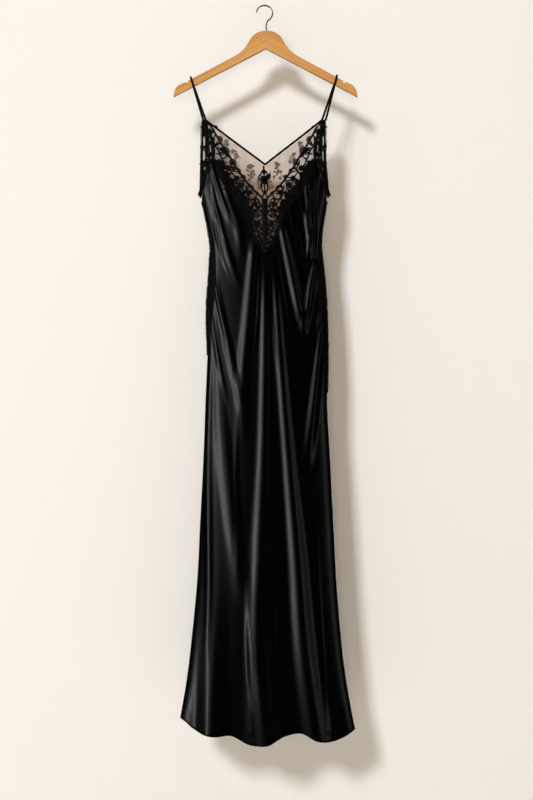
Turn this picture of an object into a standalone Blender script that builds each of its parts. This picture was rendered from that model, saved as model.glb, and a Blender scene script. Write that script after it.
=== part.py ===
"""A long slip dress of black satin and lace, hung by its straps on a wooden hanger.

The script works in millimetres and makes the meshes in metres. +Z is up, the front of the dress
faces -Y, and the origin is the inside of the hook's top, where the hanger hangs on its nail.
"""

from collections import namedtuple
from math import asin, cos, hypot, pi, radians, sin

import bmesh
import bpy
from mathutils import Vector

MM = 0.001
SEAM = 0.3  # clear gap between two pieces that are sewn together

# ---------------------------------------------------------------- the hung dress

# The side edges of the dress, seen from the front.
Outline = namedtuple("Outline", "z left right")
OUTLINE = [
    Outline(-262, -144, 136),
    Outline(-304, -145, 136),
    Outline(-350, -146, 136),
    Outline(-395, -146, 139),
    Outline(-440, -145, 140),
    Outline(-463, -140, 136),
    Outline(-509, -131, 129),
    Outline(-545, -126, 127),
    Outline(-577, -127, 130),
    Outline(-622, -130, 135),
    Outline(-680, -134, 139),
    Outline(-735, -134, 141),
    Outline(-790, -132, 142),
    Outline(-894, -136, 141),
    Outline(-1030, -141, 148),
    Outline(-1167, -148, 155),
    Outline(-1303, -155, 162),
    Outline(-1439, -168, 173),
    Outline(-1530, -179, 184),
    Outline(-1600, -191, 196),
    Outline(-1650, -200, 206),
]

# Half depths: of the gap between front and back at the side edge, which is the armhole above the
# underarm, and of the front and back at the middle.
Depth = namedtuple("Depth", "z side front back")
DEPTHS = [
    Depth(-262, 11, 13, 13),
    Depth(-304, 17, 22, 21),
    Depth(-350, 18, 30, 27),
    Depth(-395, 13, 38, 33),
    Depth(-420, 6, 41, 35),
    Depth(-438, 1.5, 43, 37),
    Depth(-455, 0, 44, 37),
    Depth(-500, 0, 45, 38),
    Depth(-573, 0, 42, 37),
    Depth(-650, 0, 43, 39),
    Depth(-780, 0, 49, 45),
    Depth(-900, 0, 54, 51),
    Depth(-1100, 0, 57, 57),
    Depth(-1300, 0, 57, 61),
    Depth(-1500, 0, 55, 62),
    Depth(-1660, 0, 52, 60),
]

# Each fold runs down from z_top to z_end. The values in x (its crest), height, left and right
# (its half widths) lie evenly spaced along it. The hem is at about -1640, so a fold that ends
# below it is cut off by the hem.
Fold = namedtuple("Fold", "name z_top z_end x height left right")
FRONT_FOLDS = [
    Fold(
        "edge_left", -849, -1680,
        (-116, -117, -121, -124), (1.1, 1.6, 6, 24), (24, 26, 32, 44), (30, 34, 44, 52),
    ),  # fmt: skip
    Fold(
        "side_roll_left", -640, -1500,
        (-124, -127, -132.5, -130.5, -129, -135), (0, 3, 5.5, 6, 3.6, 0),
        (10, 11, 11, 12, 12, 12), (10, 13, 16, 16, 14, 12),
    ),  # fmt: skip
    Fold("hem_middle", -1348, -1680, (-15, -13, -11), (0, 5, 8), (40, 44, 48), (46, 52, 56)),
    Fold(
        "hip_left", -667, -1371,
        (-118, -107, -91, -72, -45), (0.7, 1.3, 4, 6, 0), (14, 17, 24, 26, 26), (14, 16, 24, 28, 30),
    ),  # fmt: skip
    Fold(
        "centre", -558, -1680,
        (-1, -1, -4, -12, -18, 9), (5, 7, 8, 10, 13, 13),
        (11, 16, 20, 26, 32, 30), (12, 16, 20, 28, 40, 44),
    ),  # fmt: skip
    Fold(
        "right_long", -558, -1680,
        (17, 33, 51, 70, 87, 117), (5, 8, 10, 14, 17, 19),
        (11, 16, 20, 26, 32, 36), (12, 16, 20, 28, 36, 44),
    ),  # fmt: skip
    Fold("waist_left", -522, -1008, (-24, -36, -50, -50), (6, 7, 7, 0), (14, 20, 22, 24), (12, 16, 18, 20)),
    Fold(
        "hip_drape_left", -604, -940,
        (-115, -95, -72, -50), (0.9, 2.7, 4, 0), (12, 14, 16, 16), (10, 12, 14, 16),
    ),  # fmt: skip
    Fold(
        "bust_drape_low", -452, -645,
        (-113, -99, -80, -59), (1.8, 2.3, 4, 0), (12, 14, 16, 16), (10, 12, 13, 14),
    ),  # fmt: skip
    Fold(
        "bust_drape_mid", -372, -531,
        (-119, -104, -85, -65), (3, 3, 3, 0), (10, 12, 13, 14), (9, 10, 12, 12),
    ),  # fmt: skip
    Fold(
        "bust_drape_high", -361, -581,
        (-100, -85, -61, -54), (5, 4, 5, 0), (12, 15, 16, 16), (10, 13, 14, 15),
    ),  # fmt: skip
    Fold(
        "neck_drape_right", -490, -770,
        (34, 54, 73, 93), (6, 8, 9, 0), (12, 16, 16, 16), (10, 13, 14, 14),
    ),  # fmt: skip
    Fold("waist_right", -572, -747, (118, 104, 95, 85), (9, 8, 9, 0), (12, 13, 14, 14), (9, 11, 13, 14)),
    Fold("hip_right", -667, -1076, (133, 121, 106, 89), (10, 11, 11, 0), (14, 17, 20, 22), (9, 12, 16, 20)),
    Fold("bust_right", -384, -581, (92, 96, 99, 100), (5, 7, 8, 4), (10, 12, 12, 11), (8, 9, 9, 8)),
    Fold("bust_right_out", -377, -581, (119, 111, 110, 108), (3, 5, 5, 2.6), (8, 9, 9, 9), (7, 8, 8, 8)),
]
BACK_FOLDS = [
    Fold(
        "lobe_left", -980, -1680,
        (-106, -108, -112, -116), (0, 6, 14, 24), (20, 30, 42, 56), (20, 28, 38, 52),
    ),  # fmt: skip
    Fold("lobe_middle", -600, -1680, (4, -6, -2, 10), (4, 7, 12, 24), (14, 22, 36, 54), (14, 20, 34, 52)),
    Fold("lobe_right", -900, -1680, (80, 92, 104, 122), (0, 7, 13, 24), (18, 26, 38, 52), (20, 28, 40, 54)),
    Fold("waist_left", -575, -1150, (-40, -52, -58, -60), (3, 6, 7, 0), (14, 18, 22, 26), (14, 18, 22, 26)),
    Fold("waist_right", -575, -1060, (46, 58, 62, 60), (3, 6, 6, 0), (14, 18, 20, 24), (14, 18, 20, 24)),
    Fold("hip_left", -520, -900, (-112, -98, -86, -78), (2, 5, 5, 0), (12, 15, 16, 18), (11, 14, 15, 16)),
    Fold("hip_right", -520, -920, (112, 102, 92, 86), (2, 5, 5, 0), (12, 15, 16, 18), (11, 14, 15, 16)),
]

# The hem, from the left side edge to the right.
HEM_FRONT = (
    -1613, -1615, -1620, -1632, -1641, -1644, -1645, -1663, -1662,
    -1645, -1639, -1654, -1660, -1654, -1646, -1641, -1640,
)  # fmt: skip
HEM_BACK = (-1613, -1632, -1640, -1640, -1640)

UNDERARM_Z = -438
UNDERARM_T = 0.96  # how far round to the side edge the satin reaches at the underarm
CORNER_DROP = 3.0  # the satin's corners at the underarm lie this far below it

# ---------------------------------------------------------------- the lace

# Sections of the lace, from the strap to the low point of the V. Distances are from the centre
# line. The edge is the neckline down to z -444 and the centre seam below it. The foot is sewn to
# the armhole lace as far as the corner, and to the satin from there.
NeckSection = namedtuple("NeckSection", "edge_x edge_z foot_x foot_z")
NECK_LACE = [
    NeckSection(134, -258, 130, -263),
    NeckSection(119, -286, 124, -292),
    NeckSection(102, -313, 118, -319),
    NeckSection(87, -336, 115, -345),
    NeckSection(77, -351, 109, -371),
    NeckSection(67, -366, 101, -393),
    NeckSection(56, -382, 90, -413),
    NeckSection(44, -399, 76, -433),
    NeckSection(32, -414, 61, -453),
    NeckSection(20, -426, 47, -469),
    NeckSection(8, -437, 39, -489),
    NeckSection(0, -452, 34, -506),
    NeckSection(0, -472, 30, -520),
    NeckSection(0, -494, 24, -533),
    NeckSection(0, -517, 17, -544),
    NeckSection(0, -539, 9, -554),
    NeckSection(0, -557, 2.4, -560.2),
]
CORNER = 3  # the section at the satin's top corner
OPEN_SECTIONS = 4  # from here down, the lace's outer half is close and has no gaps
V_POINT_Z = -563
BACK_LOW_Z = -575  # the middle of the back panel's top edge
SCALLOP = 6.0
NECK_AXIS = -1.5  # x of the front neckline's middle, which isn't quite that of the dress
NECK_REACH = 140.0  # the distance from the middle at which the two agree

# The armhole lace below the corner, down to the underarm. Its edge points out at the underarm.
ArmholeSection = namedtuple("ArmholeSection", "edge_x edge_z foot_x foot_z")
ARMHOLE_LACE = [
    ArmholeSection(140, -258, 130, -263),
    ArmholeSection(140.5, -290, 124, -292),
    ArmholeSection(141, -318, 118, -319),
    ArmholeSection(141, -345, 115, -345),
    ArmholeSection(141, -371, 123.5, -369),
    ArmholeSection(142, -396, 129, -393),
    ArmholeSection(144, -416, 135, -415),
    ArmholeSection(149, -431, 141, -431),
]

SIDE_LACE_SHARE = (0.04, 0.13, 0.22, 0.29, 0.33, 0.34, 0.32, 0.26, 0.16, 0.0)
SIDE_LACE_END = {"left": -815, "right": -900}
SIDE_GAP = 0.007  # the seam beside it, as a share of the quarter turn

# Share of a lace band's width at which its threads run, beside a gap's ends and at its middle.
NARROW = (0.0, 0.19, 0.35, 0.61, 0.77, 1.0)
WIDE = (0.0, 0.10, 0.43, 0.53, 0.86, 1.0)
SINGLE_NARROW = (0.0, 0.38, 0.62, 1.0)
SINGLE_WIDE = (0.0, 0.24, 0.76, 1.0)
SIDE_COLUMNS = (0.0, 0.25, 0.5, 0.75, 1.0)  # the middle one runs down the side edge
BAR = 0.22  # share of a section taken by the bar between two gaps
SMALLEST_GAP = 4.0

# ---------------------------------------------------------------- walls and grids

SATIN_WALL = 1.5
LACE_WALL = 1.2
NET_WALL = 1.0
RIM = 0.8  # how far the corded edges of the lace stand out

ROWS = 28
ROW_CROWDING = 1.12  # above 1, rows crowd towards the top edge
BACK_COLUMNS = 24
SETTLE = 0.28  # share of the length in which the columns leave the top edge's spacing


# ---------------------------------------------------------------- interpolation


def smooth(s):
    s = min(max(s, 0.0), 1.0)
    return s * s * (3 - 2 * s)


def mix(a, b, s):
    return a + (b - a) * s


def hermite(p, slopes, widths, s):
    """Between p[1] and p[2], with the slopes there."""
    a, b = p
    ma, mb = slopes[0] * widths, slopes[1] * widths
    return (
        (2 * s**3 - 3 * s**2 + 1) * a
        + (s**3 - 2 * s**2 + s) * ma
        + (3 * s**2 - 2 * s**3) * b
        + (s**3 - s**2) * mb
    )


def through(keys, values, at):
    """A smooth curve through the values, whose keys descend."""
    if at >= keys[0]:
        return values[0]
    if at <= keys[-1]:
        return values[-1]
    i = next(n for n in range(len(keys) - 1) if keys[n + 1] <= at)

    def slope(n):
        low, high = max(n - 1, 0), min(n + 1, len(keys) - 1)
        return (values[high] - values[low]) / (keys[high] - keys[low])

    width = keys[i + 1] - keys[i]
    return hermite(
        (values[i], values[i + 1]), (slope(i), slope(i + 1)), width, (at - keys[i]) / width
    )


def along(stations, s):
    """A smooth curve through evenly spaced stations, with s from 0 to 1."""
    keys = [-n / (len(stations) - 1) for n in range(len(stations))]
    return through(keys, stations, -s)


# ---------------------------------------------------------------- the surface of the dress


def centre_and_half(z):
    keys = [row.z for row in OUTLINE]
    left = through(keys, [row.left for row in OUTLINE], z)
    right = through(keys, [row.right for row in OUTLINE], z)
    return (left + right) / 2, (right - left) / 2


def depth_at(z, facing):
    keys = [row.z for row in DEPTHS]
    side = through(keys, [row.side for row in DEPTHS], z)
    middle = through(keys, [getattr(row, facing) for row in DEPTHS], z)
    return max(side, 0.0), middle


def fold_height(x, z, folds):
    total = 0.0
    for fold in folds:
        s = (fold.z_top - z) / (fold.z_top - fold.z_end)
        if not 0 < s < 1:
            continue
        offset = x - along(fold.x, s)
        half = along(fold.left if offset < 0 else fold.right, s)
        if abs(offset) < half:
            height = along(fold.height, s) * smooth(s / 0.12)
            total += height * cos(offset / half * pi / 2) ** 2
    return total


def dress_point(t, z, facing):
    """The outer face at t, from -1 at the left side edge to 1 at the right, and height z."""
    centre, half = centre_and_half(z)
    side, middle = depth_at(z, facing)
    x = centre + half * sin(t * pi / 2)
    folds = FRONT_FOLDS if facing == "front" else BACK_FOLDS
    fade = smooth((1 - abs(t)) / 0.22)
    y = SEAM / 2 + side + (middle - side) * cos(t * pi / 2) + fade * fold_height(x, z, folds)
    return Vector((x, -y if facing == "front" else y, z))


def dress_normal(t, z, facing):
    step_t, step_z = 0.004, 1.0
    t = min(max(t, step_t - 1), 1 - step_t)
    across = dress_point(t + step_t, z, facing) - dress_point(t - step_t, z, facing)
    down = dress_point(t, z - step_z, facing) - dress_point(t, z + step_z, facing)
    normal = across.cross(down) if facing == "back" else down.cross(across)
    return normal.normalized()


def t_of(from_centre, z):
    half = centre_and_half(z)[1]
    return asin(min(max(from_centre / half, -0.999), 0.999)) * 2 / pi


def place(from_centre, z, facing, inward=0.0, outward=0.0):
    """A point of the dress at a distance from the centre line, moved off the outer face."""
    t = t_of(from_centre, z)
    point = dress_point(t, z, facing)
    point.x = centre_and_half(z)[0] + from_centre
    return point + dress_normal(t, z, facing) * (outward - inward)


def off_axis(x, z):
    """A distance from the neckline's middle, as the distance from the centre line."""
    share = 1 - min(abs(x) / NECK_REACH, 1) ** 4
    return x + (NECK_AXIS - centre_and_half(z)[0]) * share


def hem_z(t, facing):
    return along(HEM_FRONT if facing == "front" else HEM_BACK, (t + 1) / 2)


# ---------------------------------------------------------------- meshes


def add_object(name, bm, material):
    bmesh.ops.recalc_face_normals(bm, faces=bm.faces)
    mesh = bpy.data.meshes.new(name)
    bm.to_mesh(mesh)
    bm.free()
    obj = bpy.data.objects.new(name, mesh)
    bpy.context.scene.collection.objects.link(obj)
    obj.data.materials.append(material)
    return obj


def wall(name, outer, inner, material, holes=()):
    """A closed wall between two grids of points, open at the cells in holes."""
    bm = bmesh.new()
    rows, columns = len(outer) - 1, len(outer[0]) - 1
    skins = [[[bm.verts.new(point * MM) for point in row] for row in grid] for grid in (outer, inner)]
    kept = {(i, j) for i in range(rows) for j in range(columns)} - set(holes)

    def quad(corners):
        a, b, c, d = corners
        bm.faces.new((a, b, c))
        bm.faces.new((a, c, d))

    for i, j in sorted(kept):
        for skin in skins:
            quad((skin[i][j], skin[i + 1][j], skin[i + 1][j + 1], skin[i][j + 1]))
        sides = (
            ((i - 1, j), (i, j), (i, j + 1)),
            ((i + 1, j), (i + 1, j), (i + 1, j + 1)),
            ((i, j - 1), (i, j), (i + 1, j)),
            ((i, j + 1), (i, j + 1), (i + 1, j + 1)),
        )
        for neighbour, (i0, j0), (i1, j1) in sides:
            if neighbour not in kept:
                quad((skins[0][i0][j0], skins[0][i1][j1], skins[1][i1][j1], skins[1][i0][j0]))
    return add_object(name, bm, material)


def tube(name, path, radius, sides, material):
    """A round cord with flat ends along a path of points."""
    bm = bmesh.new()
    count = len(path)
    tangents = [
        (path[min(n + 1, count - 1)] - path[max(n - 1, 0)]).normalized() for n in range(count)
    ]
    normal = tangents[0].orthogonal().normalized()
    rings = []
    for point, tangent in zip(path, tangents):
        normal = (normal - tangent * normal.dot(tangent)).normalized()
        other = tangent.cross(normal)
        turns = [2 * pi * n / sides for n in range(sides)]
        rings.append(
            [bm.verts.new((point + (normal * cos(a) + other * sin(a)) * radius) * MM) for a in turns]
        )
    for ring, following in zip(rings, rings[1:]):
        for n in range(sides):
            m = (n + 1) % sides
            bm.faces.new((ring[n], ring[m], following[m], following[n]))
    bm.faces.new(rings[0])
    bm.faces.new(rings[-1])
    return add_object(name, bm, material)


def smooth_path(points, steps):
    """Evenly sampled points of a smooth curve through the given points."""
    axes = [[point[axis] for point in points] for axis in range(3)]
    return [Vector([along(axis, n / steps) for axis in axes]) for n in range(steps + 1)]


def material(name, colour, roughness, metallic=0.0):
    made = bpy.data.materials.new(name)
    made.use_nodes = True
    shader = made.node_tree.nodes["Principled BSDF"]
    shader.inputs["Base Color"].default_value = (*colour, 1)
    shader.inputs["Roughness"].default_value = roughness
    shader.inputs["Metallic"].default_value = metallic
    return made


# ---------------------------------------------------------------- satin


def side_share(z, side):
    """Share of the quarter turn that the side lace takes at this height, on either face."""
    s = (UNDERARM_Z - z) / (UNDERARM_Z - SIDE_LACE_END[side])
    return along(SIDE_LACE_SHARE, s) if s < 1 else 0.0


def edge_heights(side):
    """The heights of the rows at a side edge, shared by front, back and side lace."""
    hem = hem_z(-1 if side == "left" else 1, "front")
    shares = [(n / ROWS) ** ROW_CROWDING for n in range(ROWS + 1)]
    return [mix(UNDERARM_Z, hem, share) for share in shares]


def lowered(line, distance):
    """A line that runs from left to right, moved down squarely to itself."""
    moved = []
    for n, (x, z) in enumerate(line):
        before, after = line[max(n - 1, 0)], line[min(n + 1, len(line) - 1)]
        first = Vector((x - before[0], z - before[1])).normalized()
        second = Vector((after[0] - x, after[1] - z)).normalized()
        mitre = Vector((first.y + second.y, -first.x - second.x))
        reach = distance / min(max(mitre.length / 2, 0.25), 1.0)
        mitre.normalize()
        moved.append((x + mitre.x * reach, z + mitre.y * reach))
    return moved


def front_top_edge():
    """Points of the satin's top edge from underarm to underarm, as (distance, z)."""
    armhole = [(section.foot_x, section.foot_z) for section in ARMHOLE_LACE[:CORNER:-1]]
    underarm = (centre_and_half(UNDERARM_Z)[1] * sin(UNDERARM_T * pi / 2), UNDERARM_Z)
    lace = [(section.foot_x, section.foot_z) for section in NECK_LACE[CORNER:-1]]
    half = [underarm] + armhole + lace + [(0.0, V_POINT_Z)]
    line = [(-x, z) for x, z in half] + half[-2::-1]
    line[1:-1] = [(off_axis(x, z), z) for x, z in line[1:-1]]
    return lowered(line, SEAM * 1.8)


def back_top_edge():
    """The back's plain top edge, falling from the underarms to the middle."""
    points = []
    for n in range(BACK_COLUMNS + 1):
        q = 2 * n / BACK_COLUMNS - 1
        z = mix(BACK_LOW_Z, UNDERARM_Z, abs(q) ** 1.6)
        x = centre_and_half(z)[1] * sin(q * UNDERARM_T * pi / 2)
        points.append((x, z))
    return lowered(points, SEAM * 1.5)


def panel_grid(top, facing, inward):
    """Rows of points from the top edge to the hem, moved inward off the outer face."""
    columns = len(top) - 1
    grid = []
    for r in range(ROWS + 1):
        down = (r / ROWS) ** ROW_CROWDING
        settled = smooth(down / SETTLE)
        row = []
        for c, (x, z_top) in enumerate(top):
            even = 2 * c / columns - 1
            side = "left" if even < 0 else "right"
            t = mix(t_of(x, z_top), even, settled)
            z = mix(z_top, hem_z(even, facing), down)
            if c in (0, columns):
                z = edge_heights(side)[r] - (0 if r else CORNER_DROP)
                t = even
            if r or c in (0, columns):
                share = side_share(z, side)
                t *= 1 - (share + SIDE_GAP if share else 0) * t * t
            row.append(dress_point(t, z, facing) - dress_normal(t, z, facing) * inward)
        grid.append(row)
    return grid


def build_satin(satin):
    for facing, top in (("front", front_top_edge()), ("back", back_top_edge())):
        outer = panel_grid(top, facing, 0.0)
        inner = panel_grid(top, facing, SATIN_WALL)
        wall(facing, outer, inner, satin)


# ---------------------------------------------------------------- lace and net


def band_lines(sections, shares):
    """Splits each section of a band into a bar and a gap, and gives each line its four values,
    the shares of the width at which its threads run, and whether a gap starts there."""
    narrow, wide = shares
    lines = []
    for here, following in zip(sections, sections[1:]):
        steps = ((0.0, narrow, False), (BAR, narrow, True), ((1 + BAR) / 2, wide, True))
        for s, threads, open_below in steps:
            values = [mix(a, b, s) for a, b in zip(here, following)]
            lines.append((values, threads, open_below))
    lines.append((list(sections[-1]), narrow, False))
    return lines


def straighten(grid, column):
    """Makes a sewn edge run straight from section to section, as its neighbour's does."""
    for n in range(0, len(grid) - 3, 3):
        first, last = grid[n][column], grid[n + 3][column]
        for step, share in ((1, BAR), (2, (1 + BAR) / 2)):
            grid[n + step][column] = first.lerp(last, share)


def lace_band(name, sign, sections, shares, lace, scallop=0.0, seam_x=0.0):
    """A band of lace on the front between an edge and a foot, with gaps cut through."""
    lines = band_lines(sections, shares)
    outer, inner, holes = [], [], set()
    last = len(shares[0]) - 1
    for i, ((edge_x, edge_z, foot_x, foot_z), threads, open_below) in enumerate(lines):
        gap_columns = range(1, last if i < 3 * OPEN_SECTIONS else 2, 2)
        width = hypot(edge_x - foot_x, edge_z - foot_z)
        if threads is shares[1] and edge_x > 0:
            edge_z += scallop
        outer_row, inner_row = [], []
        for j, share in enumerate(threads):
            z = mix(edge_z, foot_z, share)
            x = off_axis(sign * (mix(edge_x, foot_x, share) + seam_x), z)
            rim = RIM if j == 0 else 0.0
            outer_row.append(place(x, z, "front", outward=rim))
            inner_row.append(place(x, z, "front", inward=LACE_WALL))
        outer.append(outer_row)
        inner.append(inner_row)
        opening = (threads[2] - threads[1]) * width
        wide_opening = (shares[1][2] - shares[1][1]) * width
        if open_below and wide_opening > SMALLEST_GAP and opening > 1.0:
            holes |= {(i, j) for j in gap_columns}
    straighten(outer, last)
    straighten(inner, last)
    wall(name, outer, inner, lace, holes)


def side_lace(name, side, lace):
    """The inset at a side seam, from the front's edge round to the back's."""
    sign = -1 if side == "left" else 1
    heights = [z for z in edge_heights(side) if z > SIDE_LACE_END[side]]
    heights[0] -= SEAM * 2
    sections = [(z, side_share(z, side)) for z in heights]
    end_z = next(z for z in edge_heights(side) if z <= SIDE_LACE_END[side])
    z, share = sections[-1]
    sections.append((mix(z, end_z, 0.7), mix(share, side_share(end_z, side), 0.7)))
    outer, inner = [], []
    for z, share in sections:
        outer_row, inner_row = [], []
        for c in SIDE_COLUMNS:
            facing = "front" if c < 0.5 else "back"
            t = sign * (1 - share * abs(1 - 2 * c))
            point = dress_point(t, z, facing)
            outer_row.append(point)
            inner_row.append(point - dress_normal(t, z, facing) * LACE_WALL)
        outer.append(outer_row)
        inner.append(inner_row)
    wall(name, outer, inner, lace)


BACK_NECK = ((134.5, -258.5), (0, -358))  # its ends at the straps, and its low point
BACK_AXIS = -0.8  # x of the back neckline's low point, and of the strip that hangs from it
NET_ROWS = 8


def back_neck(q):
    """The back neckline at q, from -1 at the left strap to 1 at the right, as (distance, z)."""
    (x_end, z_end), (_, z_low) = BACK_NECK
    low_x = BACK_AXIS - centre_and_half(z_low)[0]
    return q * x_end + low_x * (1 - abs(q)), mix(z_low, z_end, abs(q))


def net_point(q, s, **moved):
    """A point of the sheer back at column q, with s from the neckline to the satin."""
    x_top, z_top = back_neck(q)
    z_low = mix(BACK_LOW_Z, UNDERARM_Z, abs(q) ** 1.6)
    x_low = centre_and_half(z_low)[1] * sin(q * UNDERARM_T * pi / 2)
    z = mix(z_top, z_low, s)
    t = mix(t_of(x_top, z_top), t_of(x_low, z_low), s)
    x = centre_and_half(z)[1] * sin(t * pi / 2)
    return place(x, z, "back", **moved)


def build_net(net):
    columns = [2 * n / BACK_COLUMNS - 1 for n in range(BACK_COLUMNS + 1)]
    rows = [n / NET_ROWS for n in range(NET_ROWS + 1)]
    outer = [[net_point(q, s) for q in columns] for s in rows]
    inner = [[net_point(q, s, inward=NET_WALL) for q in columns] for s in rows]
    wall("back_mesh", outer, inner, net)


# The strip that hangs from the point of the back V, on the net's inner face.
StripSection = namedtuple("StripSection", "z half gap")
BACK_STRIP = [
    StripSection(-362, 2.6, ""),
    StripSection(-368, 3.8, ""),
    StripSection(-373, 4.8, ""),
    StripSection(-376, 12.0, ""),
    StripSection(-381, 15.5, ""),
    StripSection(-386, 12.0, ""),
    StripSection(-390, 5.9, ""),
    StripSection(-393, 7.0, "slits"),
    StripSection(-404, 8.2, "slits"),
    StripSection(-415, 7.0, ""),
    StripSection(-419.5, 4.0, ""),
    StripSection(-422, 4.4, "keyhole"),
    StripSection(-429, 4.4, "keyhole"),
    StripSection(-433, 2.6, ""),
    StripSection(-437, 1.6, ""),
]
STRIP_THREADS = (0.0, 0.18, 0.42, 0.58, 0.82, 1.0)
GAP_CELLS = {"": (), "slits": (1, 3), "keyhole": (1, 2, 3)}


def back_strip(lace):
    outer, inner, holes = [], [], set()
    depth = NET_WALL + SEAM * 2.5
    for i, section in enumerate(BACK_STRIP):
        middle = BACK_AXIS - centre_and_half(section.z)[0]
        xs = [middle + mix(-section.half, section.half, share) for share in STRIP_THREADS]
        outer.append([place(x, section.z, "back", inward=depth) for x in xs])
        inner.append([place(x, section.z, "back", inward=depth + LACE_WALL) for x in xs])
        holes |= {(i, j) for j in GAP_CELLS[section.gap]}
    wall("back_lace_strip", outer, inner, lace, holes)


BINDING_RADIUS = 2.3


def build_bindings(satin):
    """Rolled bindings that lie beside the net's neckline and its armhole edges."""
    off = BINDING_RADIUS + SEAM
    slope = hypot(BACK_NECK[0][0], BACK_NECK[0][1] - BACK_NECK[1][1]) / BACK_NECK[0][0]
    neck = []
    for n in range(BACK_COLUMNS + 1):
        q = (2 * n / BACK_COLUMNS - 1) * 0.985
        point = net_point(q, 0.0, inward=NET_WALL / 2)
        neck.append(point + Vector((0, 0, off * slope * 1.05)))
    tube("back_binding", neck, BINDING_RADIUS, 8, satin)
    for side, sign in (("left", -1), ("right", 1)):
        path = []
        for n in range(11):
            point = net_point(sign, 0.02 + 0.955 * n / 10, inward=NET_WALL / 2)
            path.append(point + Vector((sign * off * 1.15, 0.6, 0)))
        tube(f"armhole_binding_{side}", path, BINDING_RADIUS, 6, satin)


def build_lace(lace):
    for side, sign in (("left", -1), ("right", 1)):
        lace_band(
            f"neck_lace_{side}", sign, NECK_LACE, (NARROW, WIDE), lace, SCALLOP, seam_x=SEAM / 2
        )
        lace_band(
            f"armhole_lace_{side}",
            sign,
            ARMHOLE_LACE,
            (SINGLE_NARROW, SINGLE_WIDE),
            lace,
            seam_x=SEAM * 2,
        )
        side_lace(f"side_lace_{side}", side, lace)


# ---------------------------------------------------------------- hanger

HANGER_HALF_THICK = 6.0
# The upper edge of an arm from the crown outwards, then round its end to the lower edge.
ARM_TOP = [
    (0, -56.5), (10, -57.4), (21, -61.0), (30, -67.2), (36, -74.5), (42, -85.5), (49, -96.4),
    (60, -106.6), (75, -116.0), (120, -140.0), (172, -168.0),
]  # fmt: skip
NOTCH = [(175.2, -169.8), (175.8, -173.6), (178.2, -175.4), (180.6, -174.6), (181.6, -172.9)]
ARM_END = [(190, -176.2), (197.5, -180.0), (203, -185.6), (206, -192.2), (208.2, -200.0), (208.4, -206.6)]
INSIDE_V_Z = -97.4
CROWN_SHIFT = 2.2  # the crown stands a little to the right of the middle
EDGE_ROUNDING = ((6.0, 1.8), (5.4, 0.6), (4.2, 0.0), (-4.2, 0.0), (-5.4, 0.6), (-6.0, 1.8))

HOOK_RADIUS = 18.1
HOOK_CENTRE = (-2.3, -16.5)
WIRE_RADIUS = 1.6
STEM_X = 1.9
STEM_DEPTH = 22.0  # how far the stem goes down into the crown


def hanger_outline():
    half = ARM_TOP + NOTCH + ARM_END
    right = [(x + CROWN_SHIFT * (1 - x / ARM_END[-1][0]), z) for x, z in half]
    left = [(CROWN_SHIFT * (1 - x / ARM_END[-1][0]) - x, z) for x, z in half[1:]]
    return right + [(CROWN_SHIFT / 2, INSIDE_V_Z)] + left[::-1]


def inset(outline, distance):
    """The closed outline moved inwards, which is to the right of its direction."""
    moved = []
    count = len(outline)
    for n, (x, z) in enumerate(outline):
        before, after = outline[n - 1], outline[(n + 1) % count]
        first = Vector((x - before[0], z - before[1])).normalized()
        second = Vector((after[0] - x, after[1] - z)).normalized()
        mitre = Vector((first.y + second.y, -first.x - second.x))
        reach = distance / max(mitre.length / 2, 0.5)
        mitre.normalize()
        moved.append((x + mitre.x * reach, z + mitre.y * reach))
    return moved


def build_hanger(wood, steel):
    outline = hanger_outline()
    bm = bmesh.new()
    rings = []
    for y, distance in EDGE_ROUNDING:
        ring = inset(outline, distance)
        rings.append([bm.verts.new(Vector((x, y, z)) * MM) for x, z in ring])
    for ring, following in zip(rings, rings[1:]):
        for n in range(len(outline)):
            m = (n + 1) % len(outline)
            bm.faces.new((ring[n], ring[m], following[m], following[n]))
    bm.faces.new(rings[0])
    bm.faces.new(rings[-1])
    body = add_object("hanger_body", bm, wood)

    stem_top = ARM_TOP[0][1]
    bore = tube(
        "hook_bore",
        [Vector((STEM_X, 0, stem_top + 6)), Vector((STEM_X, 0, stem_top - STEM_DEPTH - SEAM))],
        WIRE_RADIUS + SEAM,
        12,
        steel,
    )
    bore.hide_render = True
    bore.display_type = "WIRE"
    cut = body.modifiers.new("hook_bore", "BOOLEAN")
    cut.operation = "DIFFERENCE"
    cut.object = bore

    centre_x, centre_z = HOOK_CENTRE
    bend = []
    for n in range(23):
        turn = radians(mix(176, -62, n / 22))
        bend.append(
            Vector((centre_x + HOOK_RADIUS * cos(turn), 0, centre_z + HOOK_RADIUS * sin(turn)))
        )
    neck = smooth_path([bend[-1], Vector((2.9, 0, -38.5)), Vector((STEM_X, 0, -46))], 4)[1:]
    stem = [Vector((STEM_X, 0, z)) for z in (-52, stem_top - STEM_DEPTH)]
    tube("hanger_hook", bend + neck + stem, WIRE_RADIUS, 10, steel)


# ---------------------------------------------------------------- straps

STRAP_RADIUS = 2.3
STRAP_END_Z = -253.5
STRAP_END_Y = 12.5
# Where each strap crosses the arm, and where its front and back ends meet the dress.
Strap = namedtuple("Strap", "side over_x front_x back_x")
STRAPS = [
    Strap("left", -169.3, -140.5, -134.0),
    Strap("right", 162.1, 136.0, 127.0),
]
ARM_EDGE_RADIUS = 1.8


def arm_top(x):
    """The height of the arm's upper edge, straight near the straps."""
    (x0, z0), (x1, z1) = ARM_TOP[-2:]
    return mix(z0, z1, (abs(x) - x0) / (x1 - x0))


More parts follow.
